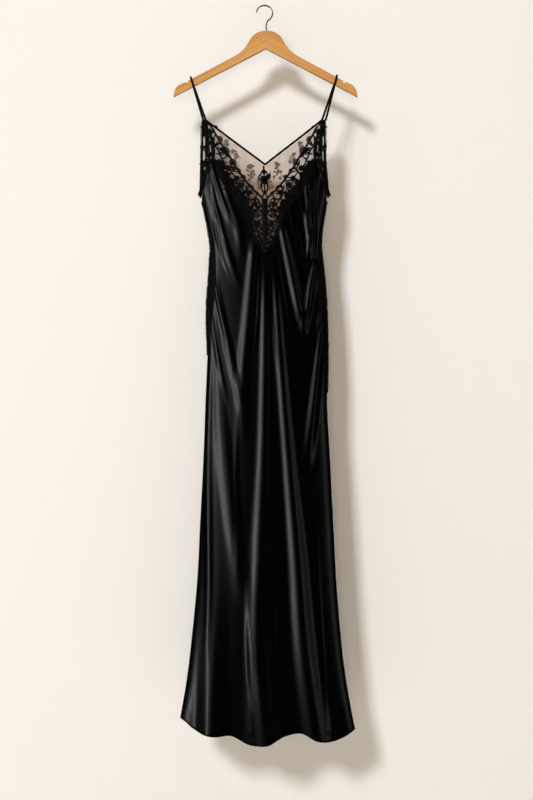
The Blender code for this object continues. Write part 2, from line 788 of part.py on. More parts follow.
def strap_half(strap, end_x, sign):
    """Points from the top of the arm to one end, at y of the given sign."""
    top = arm_top(strap.over_x)
    round_it = ARM_EDGE_RADIUS + STRAP_RADIUS + SEAM * 2.2
    centre_y, centre_z = HANGER_HALF_THICK - ARM_EDGE_RADIUS, top - ARM_EDGE_RADIUS + 0.6
    path = []
    for angle in (90, 60, 30, 0):
        y = centre_y + round_it * cos(radians(angle))
        path.append((y, centre_z + round_it * sin(radians(angle))))
    path += [(path[-1][0], top - 12), (path[-1][0], top - 24), (path[-1][0] + 0.6, top - 45)]
    path += [(mix(path[-1][0], STRAP_END_Y, 0.5), mix(top - 45, STRAP_END_Z, 0.5))]
    path += [(STRAP_END_Y, STRAP_END_Z)]
    drop = path[0][1] - STRAP_END_Z
    return [
        Vector((mix(strap.over_x, end_x, (path[0][1] - z) / drop), sign * y, z)) for y, z in path
    ]


def build_straps(satin):
    for strap in STRAPS:
        front = strap_half(strap, strap.front_x, -1)
        back = strap_half(strap, strap.back_x, 1)
        tube(f"strap_{strap.side}", front[::-1] + back, STRAP_RADIUS, 8, satin)


# ---------------------------------------------------------------- the whole


def main():
    for obj in list(bpy.data.objects):
        bpy.data.objects.remove(obj, do_unlink=True)
    satin = material("satin", (0.006, 0.006, 0.007), 0.32)
    lace = material("lace", (0.008, 0.007, 0.007), 0.85)
    net = material("net", (0.45, 0.36, 0.29), 0.9)
    wood = material("wood", (0.56, 0.33, 0.15), 0.4)
    steel = material("steel", (0.6, 0.6, 0.6), 0.28, metallic=1.0)
    build_satin(satin)
    build_lace(lace)
    build_net(net)
    back_strip(lace)
    build_bindings(satin)
    build_hanger(wood, steel)
    build_straps(satin)


main()
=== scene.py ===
# %% [markdown]
# # A satin and lace slip dress on its hanger
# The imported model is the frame: it gives the true size and place of every piece. Here each cloth
# solid gets a fine shell with its folds, lace and stitches, and the hanger its varnish and wire.
# Sizes are written in millimetres and meshes are made in metres.

# %% The frame
from collections import namedtuple
from math import cos, hypot, pi, radians, sin

import bmesh
import bpy
import numpy as np
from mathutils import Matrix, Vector
from mathutils.kdtree import KDTree


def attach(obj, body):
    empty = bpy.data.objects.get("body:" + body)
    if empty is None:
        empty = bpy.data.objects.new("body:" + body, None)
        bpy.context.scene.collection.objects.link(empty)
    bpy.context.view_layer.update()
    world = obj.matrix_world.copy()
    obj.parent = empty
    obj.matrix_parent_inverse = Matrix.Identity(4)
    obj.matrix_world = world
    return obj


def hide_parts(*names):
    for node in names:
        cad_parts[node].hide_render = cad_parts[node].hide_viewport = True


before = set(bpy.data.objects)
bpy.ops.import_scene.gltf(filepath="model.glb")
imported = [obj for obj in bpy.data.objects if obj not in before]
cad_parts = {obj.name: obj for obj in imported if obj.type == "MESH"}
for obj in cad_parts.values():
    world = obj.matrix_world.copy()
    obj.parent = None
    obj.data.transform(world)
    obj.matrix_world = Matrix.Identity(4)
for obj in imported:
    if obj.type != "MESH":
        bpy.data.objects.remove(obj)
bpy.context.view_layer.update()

MM = 0.001
BODY = "root"

# %% [markdown]
# ## Camera, wall and light
# The dress hangs against a pale wall and is seen from straight ahead, at about the height of its
# hips. The wall shows only from the front, so that the back can be looked at too. Satin shows
# little but what it mirrors, so the tall lamps beside it show only as reflections. Two soft lamps
# in front light the wall, the lace and the wood and aren't reflected, so they leave no spot on the
# satin. One lamp of each kind serves the back, and the room fills in the rest.

# %% Camera
FRAME_HEIGHT = 1.816  # metres of the wall that the picture takes in
CAMERA_DISTANCE = 3.0
CAMERA_X, CAMERA_Z = 0.0023, -0.894

camera = bpy.data.objects.new("camera", bpy.data.cameras.new("camera"))
bpy.context.scene.collection.objects.link(camera)
camera.location = (CAMERA_X, -CAMERA_DISTANCE, CAMERA_Z)
camera.rotation_euler = (radians(90), 0, 0)
camera.data.sensor_width = 36
camera.data.lens = camera.data.sensor_width * CAMERA_DISTANCE / FRAME_HEIGHT
bpy.context.scene.camera = camera
bpy.context.scene.view_settings.view_transform = "Standard"
print("lens", round(camera.data.lens, 1), "mm")


# %% Studio
def plain_material(name, colour, roughness):
    made = bpy.data.materials.new(name)
    made.use_nodes = True
    shader = made.node_tree.nodes["Principled BSDF"]
    shader.inputs["Base Color"].default_value = (*colour, 1)
    shader.inputs["Roughness"].default_value = roughness
    return made


def one_sided(material):
    """Lets the view and the light through where a face is seen from behind."""
    tree = material.node_tree
    geometry = tree.nodes.new("ShaderNodeNewGeometry")
    clear = tree.nodes.new("ShaderNodeBsdfTransparent")
    chosen = tree.nodes.new("ShaderNodeMixShader")
    tree.links.new(geometry.outputs["Backfacing"], chosen.inputs[0])
    tree.links.new(tree.nodes["Principled BSDF"].outputs[0], chosen.inputs[1])
    tree.links.new(clear.outputs[0], chosen.inputs[2])
    tree.links.new(chosen.outputs[0], tree.nodes["Material Output"].inputs[0])


def panel(name, corners, material):
    mesh = bpy.data.meshes.new(name)
    mesh.from_pydata(corners, [], [(0, 1, 2, 3)])
    obj = bpy.data.objects.new(name, mesh)
    bpy.context.scene.collection.objects.link(obj)
    mesh.materials.append(material)
    obj.visible_glossy = False


# The wall leans back towards its foot, so that the hem's shadow falls lower and wider.
WALL_LOW_Y, WALL_HIGH_Y = 0.2975, -0.0705
WALL_REACH_Z = 4.0  # above and below the hook
ROOM = 6.0  # half the width of the wall and the floor
FLOOR_Z = -1.98
wall_paint = plain_material("wall_paint", (0.885, 0.893, 0.887), 0.9)
one_sided(wall_paint)
floor_paint = plain_material("floor_paint", (0.88, 0.85, 0.80), 0.8)
low, high = (WALL_LOW_Y, -WALL_REACH_Z), (WALL_HIGH_Y, WALL_REACH_Z)
panel("wall", [(-ROOM, *low), (ROOM, *low), (ROOM, *high), (-ROOM, *high)], wall_paint)
square = [(-ROOM, -ROOM), (ROOM, -ROOM), (ROOM, ROOM), (-ROOM, ROOM)]
panel("floor", [(x, y, FLOOR_Z) for x, y in square], floor_paint)
print("wall and floor are", 2 * ROOM, "m wide")

# %% Lamps
Lamp = namedtuple("Lamp", "name place target width height power colour lights")
LAMPS = [
    Lamp("key", (-3.4, -9.1, 3.83), (0, 0, -0.85), 1.5, 1.5, 712, (0.99, 1.0, 1.0), "diffuse"),
    Lamp("fill", (0.0, -5.0, -0.9), (0, 0, -0.9), 1.0, 1.0, 50, (1.0, 0.80, 0.60), "diffuse"),
    Lamp("sheen", (-3.0, -1.35, -0.7), (0, 0, -0.9), 0.42, 3.4, 70, (1.0, 0.985, 0.965), "glossy"),
    Lamp("spread", (-2.35, -2.2, -0.7), (0, 0, -0.9), 2.2, 3.4, 21, (1.0, 0.985, 0.965), "glossy"),
    Lamp("rim", (3.2, -0.6, -0.9), (0, 0, -1.1), 0.6, 3.0, 9, (1.0, 0.98, 0.95), "glossy"),
    Lamp("back", (1.2, 3.4, 1.0), (0, 0, -0.9), 2.0, 2.0, 105, (1.0, 0.98, 0.96), "diffuse"),
    Lamp("back_sheen", (1.8, 3.1, -0.7), (0, 0, -0.9), 0.6, 3.4, 34, (1.0, 0.985, 0.965), "glossy"),
]
for lamp in LAMPS:
    data = bpy.data.lights.new(lamp.name, "AREA")
    data.shape = "RECTANGLE"
    data.size, data.size_y = lamp.width, lamp.height
    data.energy, data.color = lamp.power, lamp.colour
    obj = bpy.data.objects.new(lamp.name, data)
    bpy.context.scene.collection.objects.link(obj)
    obj.location = lamp.place
    aim = Vector(lamp.target) - Vector(lamp.place)
    obj.rotation_euler = aim.to_track_quat("-Z", "Y").to_euler()
    obj.visible_diffuse = lamp.lights != "glossy"
    obj.visible_glossy = lamp.lights != "diffuse"
print("lamps:", ", ".join(lamp.name for lamp in LAMPS))

# %% Room
ROOM_LIGHT, ROOM_STRENGTH = (1.0, 0.835, 0.66, 1), 0.14
ROOM_SEEN = (0.80, 0.77, 0.71, 1)  # where the view passes the dress it meets a paler room
world = bpy.data.worlds.new("room")
world.use_nodes = True
nodes, link = world.node_tree.nodes, world.node_tree.links.new
room_light, room_seen = nodes["Background"], nodes.new("ShaderNodeBackground")
room_light.inputs["Color"].default_value = ROOM_LIGHT
room_light.inputs["Strength"].default_value = ROOM_STRENGTH
room_seen.inputs["Color"].default_value = ROOM_SEEN
by_ray = nodes.new("ShaderNodeMixShader")
link(nodes.new("ShaderNodeLightPath").outputs["Is Camera Ray"], by_ray.inputs[0])
link(room_light.outputs[0], by_ray.inputs[1])
link(room_seen.outputs[0], by_ray.inputs[2])
link(by_ray.outputs[0], nodes["World Output"].inputs[0])
world.cycles_visibility.glossy = False
bpy.context.scene.world = world
print("the room gives light of strength", ROOM_STRENGTH)

# %% [markdown]
# ## The form of the hung dress
# Cloth that hangs from two straps falls in long ridges. Each ridge is a row of a table: where its
# crest runs, how high it stands and how wide it is to each side. The sum of the ridges is added
# to a flat tube that follows the dress's outline. A cloth simulation would settle into folds of
# its own, so tables are used: solid and shell share them, and the fine shell lies on the solid.

# %% Tables of the form
Outline = namedtuple("Outline", "z left right")
OUTLINE = [Outline(*row) for row in (
    (-262, -144, 136), (-304, -145, 136), (-350, -146, 136), (-395, -146, 139), (-440, -145, 140),
    (-463, -140, 136), (-509, -131, 129), (-545, -126, 127), (-577, -127, 130), (-622, -130, 135),
    (-680, -134, 139), (-735, -134, 141), (-790, -132, 142), (-894, -136, 141), (-1030, -141, 148),
    (-1167, -148, 155), (-1303, -155, 162), (-1439, -168, 173), (-1530, -179, 184),
    (-1600, -191, 196), (-1650, -200, 206),
)]  # fmt: skip
Depth = namedtuple("Depth", "z side front back")
DEPTHS = [Depth(*row) for row in (
    (-262, 11, 13, 13), (-304, 17, 22, 21), (-350, 18, 30, 27), (-395, 13, 38, 33),
    (-420, 6, 41, 35), (-438, 1.5, 43, 37), (-455, 0, 44, 37), (-500, 0, 45, 38), (-573, 0, 42, 37),
    (-650, 0, 43, 39), (-780, 0, 49, 45), (-900, 0, 54, 51), (-1100, 0, 57, 57), (-1300, 0, 57, 61),
    (-1500, 0, 55, 62), (-1660, 0, 52, 60),
)]  # fmt: skip
Fold = namedtuple("Fold", "name z_top z_end x height left right")
FRONT_FOLDS = [Fold(*row) for row in (
    ("edge_left", -849, -1680, (-116, -117, -121, -124), (1.1, 1.6, 6, 24), (24, 26, 32, 44),
     (30, 34, 44, 52)),
    ("side_roll_left", -640, -1500, (-124, -127, -132.5, -130.5, -129, -135),
     (0, 3, 5.5, 6, 3.6, 0), (10, 11, 11, 12, 12, 12), (10, 13, 16, 16, 14, 12)),
    ("hem_middle", -1348, -1680, (-15, -13, -11), (0, 5, 8), (40, 44, 48), (46, 52, 56)),
    ("hip_left", -667, -1371, (-118, -107, -91, -72, -45), (0.7, 1.3, 4, 6, 0),
     (14, 17, 24, 26, 26), (14, 16, 24, 28, 30)),
    ("centre", -558, -1680, (-1, -1, -4, -12, -18, 9), (5, 7, 8, 10, 13, 13),
     (11, 16, 20, 26, 32, 30), (12, 16, 20, 28, 40, 44)),
    ("right_long", -558, -1680, (17, 33, 51, 70, 87, 117), (5, 8, 10, 14, 17, 19),
     (11, 16, 20, 26, 32, 36), (12, 16, 20, 28, 36, 44)),
    ("waist_left", -522, -1008, (-24, -36, -50, -50), (6, 7, 7, 0), (14, 20, 22, 24),
     (12, 16, 18, 20)),
    ("hip_drape_left", -604, -940, (-115, -95, -72, -50), (0.9, 2.7, 4, 0), (12, 14, 16, 16),
     (10, 12, 14, 16)),
    ("bust_drape_low", -452, -645, (-113, -99, -80, -59), (1.8, 2.3, 4, 0), (12, 14, 16, 16),
     (10, 12, 13, 14)),
    ("bust_drape_mid", -372, -531, (-119, -104, -85, -65), (3, 3, 3, 0), (10, 12, 13, 14),
     (9, 10, 12, 12)),
    ("bust_drape_high", -361, -581, (-100, -85, -61, -54), (5, 4, 5, 0), (12, 15, 16, 16),
     (10, 13, 14, 15)),
    ("neck_drape_right", -490, -770, (34, 54, 73, 93), (6, 8, 9, 0), (12, 16, 16, 16),
     (10, 13, 14, 14)),
    ("waist_right", -572, -747, (118, 104, 95, 85), (9, 8, 9, 0), (12, 13, 14, 14),
     (9, 11, 13, 14)),
    ("hip_right", -667, -1076, (133, 121, 106, 89), (10, 11, 11, 0), (14, 17, 20, 22),
     (9, 12, 16, 20)),
    ("bust_right", -384, -581, (92, 96, 99, 100), (5, 7, 8, 4), (10, 12, 12, 11), (8, 9, 9, 8)),
    ("bust_right_out", -377, -581, (119, 111, 110, 108), (3, 5, 5, 2.6), (8, 9, 9, 9),
     (7, 8, 8, 8)),
)]  # fmt: skip
BACK_FOLDS = [Fold(*row) for row in (
    ("lobe_left", -980, -1680, (-106, -108, -112, -116), (0, 6, 14, 24), (20, 30, 42, 56),
     (20, 28, 38, 52)),
    ("lobe_middle", -600, -1680, (4, -6, -2, 10), (4, 7, 12, 24), (14, 22, 36, 54),
     (14, 20, 34, 52)),
    ("lobe_right", -900, -1680, (80, 92, 104, 122), (0, 7, 13, 24), (18, 26, 38, 52),
     (20, 28, 40, 54)),
    ("waist_left", -575, -1150, (-40, -52, -58, -60), (3, 6, 7, 0), (14, 18, 22, 26),
     (14, 18, 22, 26)),
    ("waist_right", -575, -1060, (46, 58, 62, 60), (3, 6, 6, 0), (14, 18, 20, 24),
     (14, 18, 20, 24)),
    ("hip_left", -520, -900, (-112, -98, -86, -78), (2, 5, 5, 0), (12, 15, 16, 18),
     (11, 14, 15, 16)),
    ("hip_right", -520, -920, (112, 102, 92, 86), (2, 5, 5, 0), (12, 15, 16, 18),
     (11, 14, 15, 16)),
)]  # fmt: skip
HEM_FRONT = (
    -1613, -1615, -1620, -1632, -1641, -1644, -1645, -1663, -1662,
    -1645, -1639, -1654, -1660, -1654, -1646, -1641, -1640,
)  # fmt: skip
HEM = {"front": HEM_FRONT, "back": (-1613, -1632, -1640, -1640, -1640)}
SEAM = 0.3  # gap between two neighbours
print(len(FRONT_FOLDS), "folds on the front,", len(BACK_FOLDS), "on the back")

# %% [markdown]
# ## Fine creases
# Real satin also has creases a few millimetres high, which would take too many faces on the solid.
# Sculpted ones would have to be made again after each change of the folds, so they are rows of
# the same kind of table, added to the fine shell alone.

# %% Tables of the fine creases
FINE_FRONT = [Fold(*row) for row in (
    ("bust_left_a", -318, -440, (-108, -98, -86), (1.2, 2.0, 0), (5, 6, 6), (5, 6, 7)),
    ("bust_left_b", -345, -500, (-124, -112, -94, -76), (1.0, 1.8, 1.6, 0), (5, 6, 7, 7),
     (5, 6, 6, 6)),
    ("bust_left_c", -395, -560, (-122, -114, -99, -82), (1.2, 1.9, 1.6, 0), (5, 6, 6, 6),
     (5, 6, 6, 6)),
    ("bust_left_d", -480, -640, (-118, -108, -92, -74), (1.2, 1.8, 1.5, 0), (5, 6, 7, 7),
     (5, 6, 6, 7)),
    ("hip_left_a", -600, -800, (-120, -108, -92, -74), (1.0, 1.8, 1.6, 0), (6, 7, 8, 8),
     (5, 6, 7, 8)),
    ("hip_left_b", -690, -920, (-124, -113, -98, -82), (1.0, 1.8, 1.6, 0), (6, 8, 9, 9),
     (6, 7, 8, 8)),
    ("waist_mid_a", -590, -820, (-14, -15, -20, -30), (1.2, 1.8, 1.4, 0), (5, 6, 7, 8),
     (5, 6, 7, 7)),
    ("waist_mid_b", -585, -840, (9, 12, 18, 28), (1.2, 1.8, 1.4, 0), (5, 6, 7, 8), (5, 6, 7, 7)),
    ("waist_mid_c", -560, -800, (30, 42, 56, 66), (1.0, 1.8, 1.4, 0), (5, 6, 7, 8), (5, 6, 7, 7)),
    ("bust_right_a", -350, -520, (101, 104, 96, 90), (1.4, 2.2, 1.8, 0), (5, 6, 7, 7),
     (5, 6, 6, 6)),
    ("bust_right_b", -384, -540, (62, 76, 90, 98), (0, 3.6, 3.6, 0), (8, 9, 9, 9),
     (9, 10, 10, 10)),
    ("bust_right_d", -430, -600, (48, 60, 76, 88), (0, 2.8, 2.8, 0), (7, 8, 9, 9), (8, 9, 9, 9)),
    ("bust_right_c", -455, -600, (108, 104, 97, 88), (1.2, 1.9, 1.4, 0), (5, 6, 6, 6),
     (5, 6, 6, 6)),
    ("side_right_a", -560, -760, (124, 114, 99, 84), (1.2, 1.9, 1.6, 0), (5, 6, 7, 8),
     (5, 6, 7, 7)),
    ("side_right_b", -640, -860, (128, 119, 106, 92), (1.2, 1.9, 1.6, 0), (6, 7, 8, 8),
     (5, 6, 7, 7)),
    ("skirt_a", -900, -1330, (-62, -66, -60, -66), (0, 1.6, 1.8, 0), (8, 9, 10, 10),
     (8, 9, 10, 10)),
    ("skirt_b", -1180, -1640, (-34, -40, -34, -30), (0, 1.6, 2.2, 1.6), (8, 10, 11, 12),
     (8, 10, 11, 12)),
    ("skirt_c", -1240, -1650, (20, 30, 24, 30), (0, 1.6, 2.0, 1.4), (8, 9, 10, 12),
     (8, 9, 10, 12)),
    ("skirt_d", -1120, -1640, (112, 118, 128, 140), (0, 1.6, 2.2, 1.6), (8, 9, 11, 12),
     (8, 9, 10, 12)),
)]  # fmt: skip
FINE_BACK = [Fold(*row) for row in (
    ("seat_left", -600, -820, (-70, -62, -50, -36), (1.0, 1.9, 1.6, 0), (6, 8, 8, 8),
     (6, 8, 8, 8)),
    ("seat_right", -610, -840, (74, 64, 54, 40), (1.0, 1.9, 1.6, 0), (6, 8, 8, 8), (6, 8, 8, 8)),
    ("skirt_left", -1050, -1500, (-60, -66, -58, -64), (0, 1.8, 2.0, 0), (9, 10, 11, 11),
     (9, 10, 11, 11)),
    ("skirt_right", -1150, -1600, (46, 54, 48, 56), (0, 1.8, 2.0, 0), (9, 10, 11, 11),
     (9, 10, 11, 11)),
)]  # fmt: skip
FOLDS = {"front": FRONT_FOLDS + FINE_FRONT, "back": BACK_FOLDS + FINE_BACK}
print(len(FINE_FRONT), "fine creases on the front,", len(FINE_BACK), "on the back")


# %% Smooth curves
def smooth(s):
    s = np.clip(s, 0, 1)
    return s * s * (3 - 2 * s)


def mix(a, b, s):
    return a + (b - a) * s


def through(keys, values, at):
    """A smooth curve through the values, whose keys rise or fall."""
    keys, values = np.asarray(keys, float), np.asarray(values, float)
    if keys[0] > keys[-1]:
        keys, values = keys[::-1], values[::-1]
    last = len(keys) - 1
    low = np.maximum(np.arange(last + 1) - 1, 0)
    high = np.minimum(np.arange(last + 1) + 1, last)
    slopes = (values[high] - values[low]) / (keys[high] - keys[low])
    at = np.clip(at, keys[0], keys[-1])
    i = np.clip(np.searchsorted(keys, at, side="right") - 1, 0, last - 1)
    width = keys[i + 1] - keys[i]
    s = (at - keys[i]) / width
    return (
        (2 * s**3 - 3 * s**2 + 1) * values[i]
        + (s**3 - 2 * s**2 + s) * slopes[i] * width
        + (3 * s**2 - 2 * s**3) * values[i + 1]
        + (s**3 - s**2) * slopes[i + 1] * width
    )


def along(stations, s):
    return through(np.linspace(0, 1, len(stations)), stations, s)


def column(table, name):
    return [getattr(row, name) for row in table]


print("a quarter of the way along a curve through 0, 1, 4:", round(float(along((0, 1, 4), 0.25)), 3))

# %% The surface
FOLD_START = 0.12  # share of its length in which a fold rises from nothing
SIDE_FADE = 0.22  # share of the half width in which the folds die out towards the side edge


def centre_and_half(z):
    left = through(column(OUTLINE, "z"), column(OUTLINE, "left"), z)
    right = through(column(OUTLINE, "z"), column(OUTLINE, "right"), z)
    return (left + right) / 2, (right - left) / 2


def fold_height(x, z, folds):
    total = np.zeros(np.broadcast(x, z).shape)
    for fold in folds:
        s = (fold.z_top - z) / (fold.z_top - fold.z_end)
        offset = x - along(fold.x, s)
        half = np.where(offset < 0, along(fold.left, s), along(fold.right, s))
        height = along(fold.height, s) * smooth(s / FOLD_START) * ((s > 0) & (s < 1))
        total += height * np.cos(np.clip(offset / half, -1, 1) * pi / 2) ** 2
    return total


def dress_surface(t, z, facing):
    """Outer face at t, from -1 at the left side edge to 1 at the right, and height z."""
    t, z = np.broadcast_arrays(np.asarray(t, float), np.asarray(z, float))
    centre, half = centre_and_half(z)
    side = np.maximum(through(column(DEPTHS, "z"), column(DEPTHS, "side"), z), 0)
    middle = through(column(DEPTHS, "z"), column(DEPTHS, facing), z)
    x = centre + half * np.sin(t * pi / 2)
    fade = smooth((1 - np.abs(t)) / SIDE_FADE)
    y = SEAM / 2 + side + (middle - side) * np.cos(t * pi / 2)
    y = y + fade * fold_height(x, z, FOLDS[facing])
    return np.stack([x, -y if facing == "front" else y, z], axis=-1)


def dress_normal(t, z, facing):
    step_t, step_z = 0.004, 1.0
    t = np.clip(t, step_t - 1, 1 - step_t)
    across = dress_surface(t + step_t, z, facing) - dress_surface(t - step_t, z, facing)
    down = dress_surface(t, z - step_z, facing) - dress_surface(t, z + step_z, facing)
    normal = np.cross(across, down) if facing == "back" else np.cross(down, across)
    return normal / np.linalg.norm(normal, axis=-1, keepdims=True)


def t_of(from_centre, z):
    return np.arcsin(np.clip(from_centre / centre_and_half(z)[1], -0.999, 0.999)) * 2 / pi


waist = -dress_surface(0.0, -573.0, "front")[1]
print("at the waist the front stands", round(waist, 1), "mm forward")


# %% Places on the dress
def on_dress(from_centre, z, facing):
    """Points of the outer face at distances from the centre line, and the normals there."""
    from_centre, z = np.broadcast_arrays(np.asarray(from_centre, float), np.asarray(z, float))
    t = t_of(from_centre, z)
    points = dress_surface(t, z, facing)
    points[..., 0] = centre_and_half(z)[0] + from_centre
    return points, dress_normal(t, z, facing)


NECK_AXIS = -1.5  # x of the neckline's middle, which isn't quite that of the dress
NECK_REACH = 140.0  # the distance from the middle at which the two agree


def off_axis(x, z):
    """Distances from the neckline's middle, as distances from the centre line."""
    share = 1 - np.minimum(np.abs(x) / NECK_REACH, 1) ** 4
    return x + (NECK_AXIS - centre_and_half(z)[0]) * share


def place(from_centre, z, facing, lift=0.0):
    points, normals = on_dress(from_centre, z, facing)
    return points + normals * lift


print("the neckline's point lies at", np.round(place(off_axis(0, -563), -563, "front"), 1))


# %% [markdown]
# ## Making meshes
# Three small makers serve every piece: one turns a grid of points into a sheet, one sweeps a
# round thread along a path, and one gathers many small shapes into a single mesh. Curve objects
# could sweep the threads too, but thousands of them would be slow, so the points are computed.


# %% Mesh makers
def add_mesh(name, points, faces, material):
    mesh = bpy.data.meshes.new(name)
    mesh.from_pydata((np.asarray(points).reshape(-1, 3) * MM).tolist(), [], faces)
    obj = bpy.data.objects.new(name, mesh)
    bpy.context.scene.collection.objects.link(obj)
    mesh.materials.append(material)
    bm = bmesh.new()
    bm.from_mesh(mesh)
    bmesh.ops.recalc_face_normals(bm, faces=bm.faces)
    bm.to_mesh(mesh)
    bm.free()
    mesh.polygons.foreach_set("use_smooth", [True] * len(mesh.polygons))
    return obj


def grid_faces(rows, columns):
    corners = [i * columns + j for i in range(rows - 1) for j in range(columns - 1)]
    return [(a, a + columns, a + columns + 1, a + 1) for a in corners]


def shell(name, outer, inner, material):
    """A thin closed sheet between two grids of points."""
    rows, columns = outer.shape[:2]
    count = rows * columns
    faces = grid_faces(rows, columns)
    faces += [tuple(count + n for n in face[::-1]) for face in faces]
    rim = list(range(columns))
    rim += [i * columns + columns - 1 for i in range(1, rows)]
    rim += [(rows - 1) * columns + j for j in range(columns - 2, -1, -1)]
    rim += [i * columns for i in range(rows - 2, 0, -1)]
    for a, b in zip(rim, rim[1:] + rim[:1]):
        faces.append((a, b, count + b, count + a))
    points = np.concatenate([outer.reshape(-1, 3), inner.reshape(-1, 3)])
    return add_mesh(name, points, faces, material)


def tube_parts(path, radius, sides):
    """Points and faces of a closed thread along a path. radius may change along it."""
    path = np.asarray(path, float)
    radius = np.broadcast_to(radius, len(path))
    tangent = np.gradient(path, axis=0)
    tangent /= np.linalg.norm(tangent, axis=1, keepdims=True)
    normal = np.array(Vector(tangent[0]).orthogonal(), float)
    turns = np.arange(sides) * 2 * pi / sides
    points = []
    for point, along_it, reach in zip(path, tangent, radius):
        normal = normal - along_it * normal.dot(along_it)
        normal /= np.linalg.norm(normal)
        other = np.cross(along_it, normal)
        ring = normal * np.cos(turns)[:, None] + other * np.sin(turns)[:, None]
        points.append(point + ring * reach)
    faces = []
    for i in range(len(path) - 1):
        for n in range(sides):
            m = (n + 1) % sides
            a, b = i * sides, (i + 1) * sides
            faces.append((a + n, a + m, b + m, b + n))
    faces.append(tuple(range(sides)))
    faces.append(tuple((len(path) - 1) * sides + n for n in range(sides)))
    return np.concatenate(points), faces


def gathered(name, parts, material):
    """One mesh from many closed shapes, each a pair of points and faces."""
    points, faces, start = [], [], 0
    for part_points, part_faces in parts:
        points.append(part_points)
        faces += [tuple(start + n for n in face) for face in part_faces]
        start += len(part_points)
    return add_mesh(name, np.concatenate(points), faces, material)


def spread(points, steps):
    """Evenly spaced points of a smooth curve through the given ones."""
    points = np.asarray(points, float)
    lengths = np.concatenate([[0], np.cumsum(np.linalg.norm(np.diff(points, axis=0), axis=1))])
    at = np.linspace(0, lengths[-1], steps + 1)
    axes = [through(lengths, points[:, axis], at) for axis in range(points.shape[1])]
    return np.stack(axes, axis=1)


print("a tube of 3 stations and 6 sides has", len(tube_parts(np.eye(3), 1, 6)[1]), "faces")

# %% [markdown]
# ## Finishes
# Cloth of every kind here shows two things: the threads that it is woven from and small crinkles.
# Pictures of cloth would need a map on every piece and would blur close up, so both are computed
# from the place in the piece. Each is a node group, used by several finishes with other sizes.


# %% Node helpers
def new_group(name, inputs, outputs):
    group = bpy.data.node_groups.new(name, "ShaderNodeTree")
    for label, kind, value in inputs:
        socket = group.interface.new_socket(label, in_out="INPUT", socket_type=kind)
        if value is not None:
            socket.default_value = value
    for label, kind in outputs:
        group.interface.new_socket(label, in_out="OUTPUT", socket_type=kind)
    return group, group.nodes.new("NodeGroupInput"), group.nodes.new("NodeGroupOutput")


def node(tree, kind, **settings):
    made = tree.nodes.new(kind)
    for name, value in settings.items():
        if name in made.inputs:
            made.inputs[name].default_value = value
        else:
            setattr(made, name, value)
    return made


def math(tree, operation, a, b=None):
    """A Math node whose inputs are sockets or numbers."""
    made = tree.nodes.new("ShaderNodeMath")
    made.operation = operation
    for slot, value in zip(made.inputs, (a, b)):
        if value is None:
            continue
        if isinstance(value, (int, float)):
            slot.default_value = value
        else:
            tree.links.new(value, slot)
    return made.outputs[0]


def scaled(tree, value, by, plus):
    """A value's share with a number added."""
    return math(tree, "ADD", math(tree, "MULTIPLY", value, by), plus)


def grouped(tree, group, **values):
    made = tree.nodes.new("ShaderNodeGroup")
    made.node_tree = group
    for name, value in values.items():
        socket = made.inputs[name.replace("_", " ")]
        if isinstance(value, bpy.types.NodeSocket):
            tree.links.new(value, socket)
        else:
            socket.default_value = value
    return made


print("helpers that join nodes:", math.__name__, scaled.__name__, grouped.__name__)


# %% Shared effects
def build_weave():
    group, given, result = new_group(
        "woven_threads",
        [("Vector", "NodeSocketVector", None), ("Threads per metre", "NodeSocketFloat", 1500.0)],
        [("Height", "NodeSocketFloat")],
    )
    split = node(group, "ShaderNodeSeparateXYZ")
    group.links.new(given.outputs["Vector"], split.inputs[0])
    waves = []
    for axis in ("X", "Z"):
        turn = math(group, "MULTIPLY", split.outputs[axis], given.outputs["Threads per metre"])
        waves.append(math(group, "SINE", math(group, "MULTIPLY", turn, 2 * pi)))
    both = math(group, "MULTIPLY", waves[0], waves[1])
    group.links.new(scaled(group, both, 0.5, 0.5), result.inputs["Height"])
    return group


def build_crinkle():
    group, given, result = new_group(
        "fine_crinkle",
        [
            ("Vector", "NodeSocketVector", None),
            ("Size", "NodeSocketFloat", 60.0),
            ("Stretch", "NodeSocketFloat", 0.25),
        ],
        [("Height", "NodeSocketFloat")],
    )
    split = node(group, "ShaderNodeSeparateXYZ")
    joined = node(group, "ShaderNodeCombineXYZ")
    group.links.new(given.outputs["Vector"], split.inputs[0])
    group.links.new(split.outputs["X"], joined.inputs["X"])
    group.links.new(split.outputs["Y"], joined.inputs["Y"])
    drawn_out = math(group, "MULTIPLY", split.outputs["Z"], given.outputs["Stretch"])
    group.links.new(drawn_out, joined.inputs["Z"])
    noise = node(group, "ShaderNodeTexNoise", Detail=3.0, Roughness=0.55)
    group.links.new(joined.outputs[0], noise.inputs["Vector"])
    group.links.new(given.outputs["Size"], noise.inputs["Scale"])
    group.links.new(noise.outputs["Fac"], result.inputs["Height"])
    return group


WEAVE = build_weave()
CRINKLE = build_crinkle()
print("groups:", WEAVE.name, CRINKLE.name)


# %% Starting a finish
def started(name, colour, roughness, specular=0.5, metallic=0.0):
    made = plain_material(name, colour, roughness)
    shader = made.node_tree.nodes["Principled BSDF"]
    shader.inputs["Specular IOR Level"].default_value = specular
    shader.inputs["Metallic"].default_value = metallic
    return made, made.node_tree, shader


def object_coordinates(tree):
    return node(tree, "ShaderNodeTexCoord").outputs["Object"]


def bumped(tree, shader, layers):
    """Chains bump nodes, each (height socket, strength, distance in metres)."""
    normal = None
    for height, strength, distance in layers:
        bump = node(tree, "ShaderNodeBump", Strength=strength, Distance=distance)
        tree.links.new(height, bump.inputs["Height"])
        if normal is not None:
            tree.links.new(normal, bump.inputs["Normal"])
        normal = bump.outputs[0]
    tree.links.new(normal, shader.inputs["Normal"])


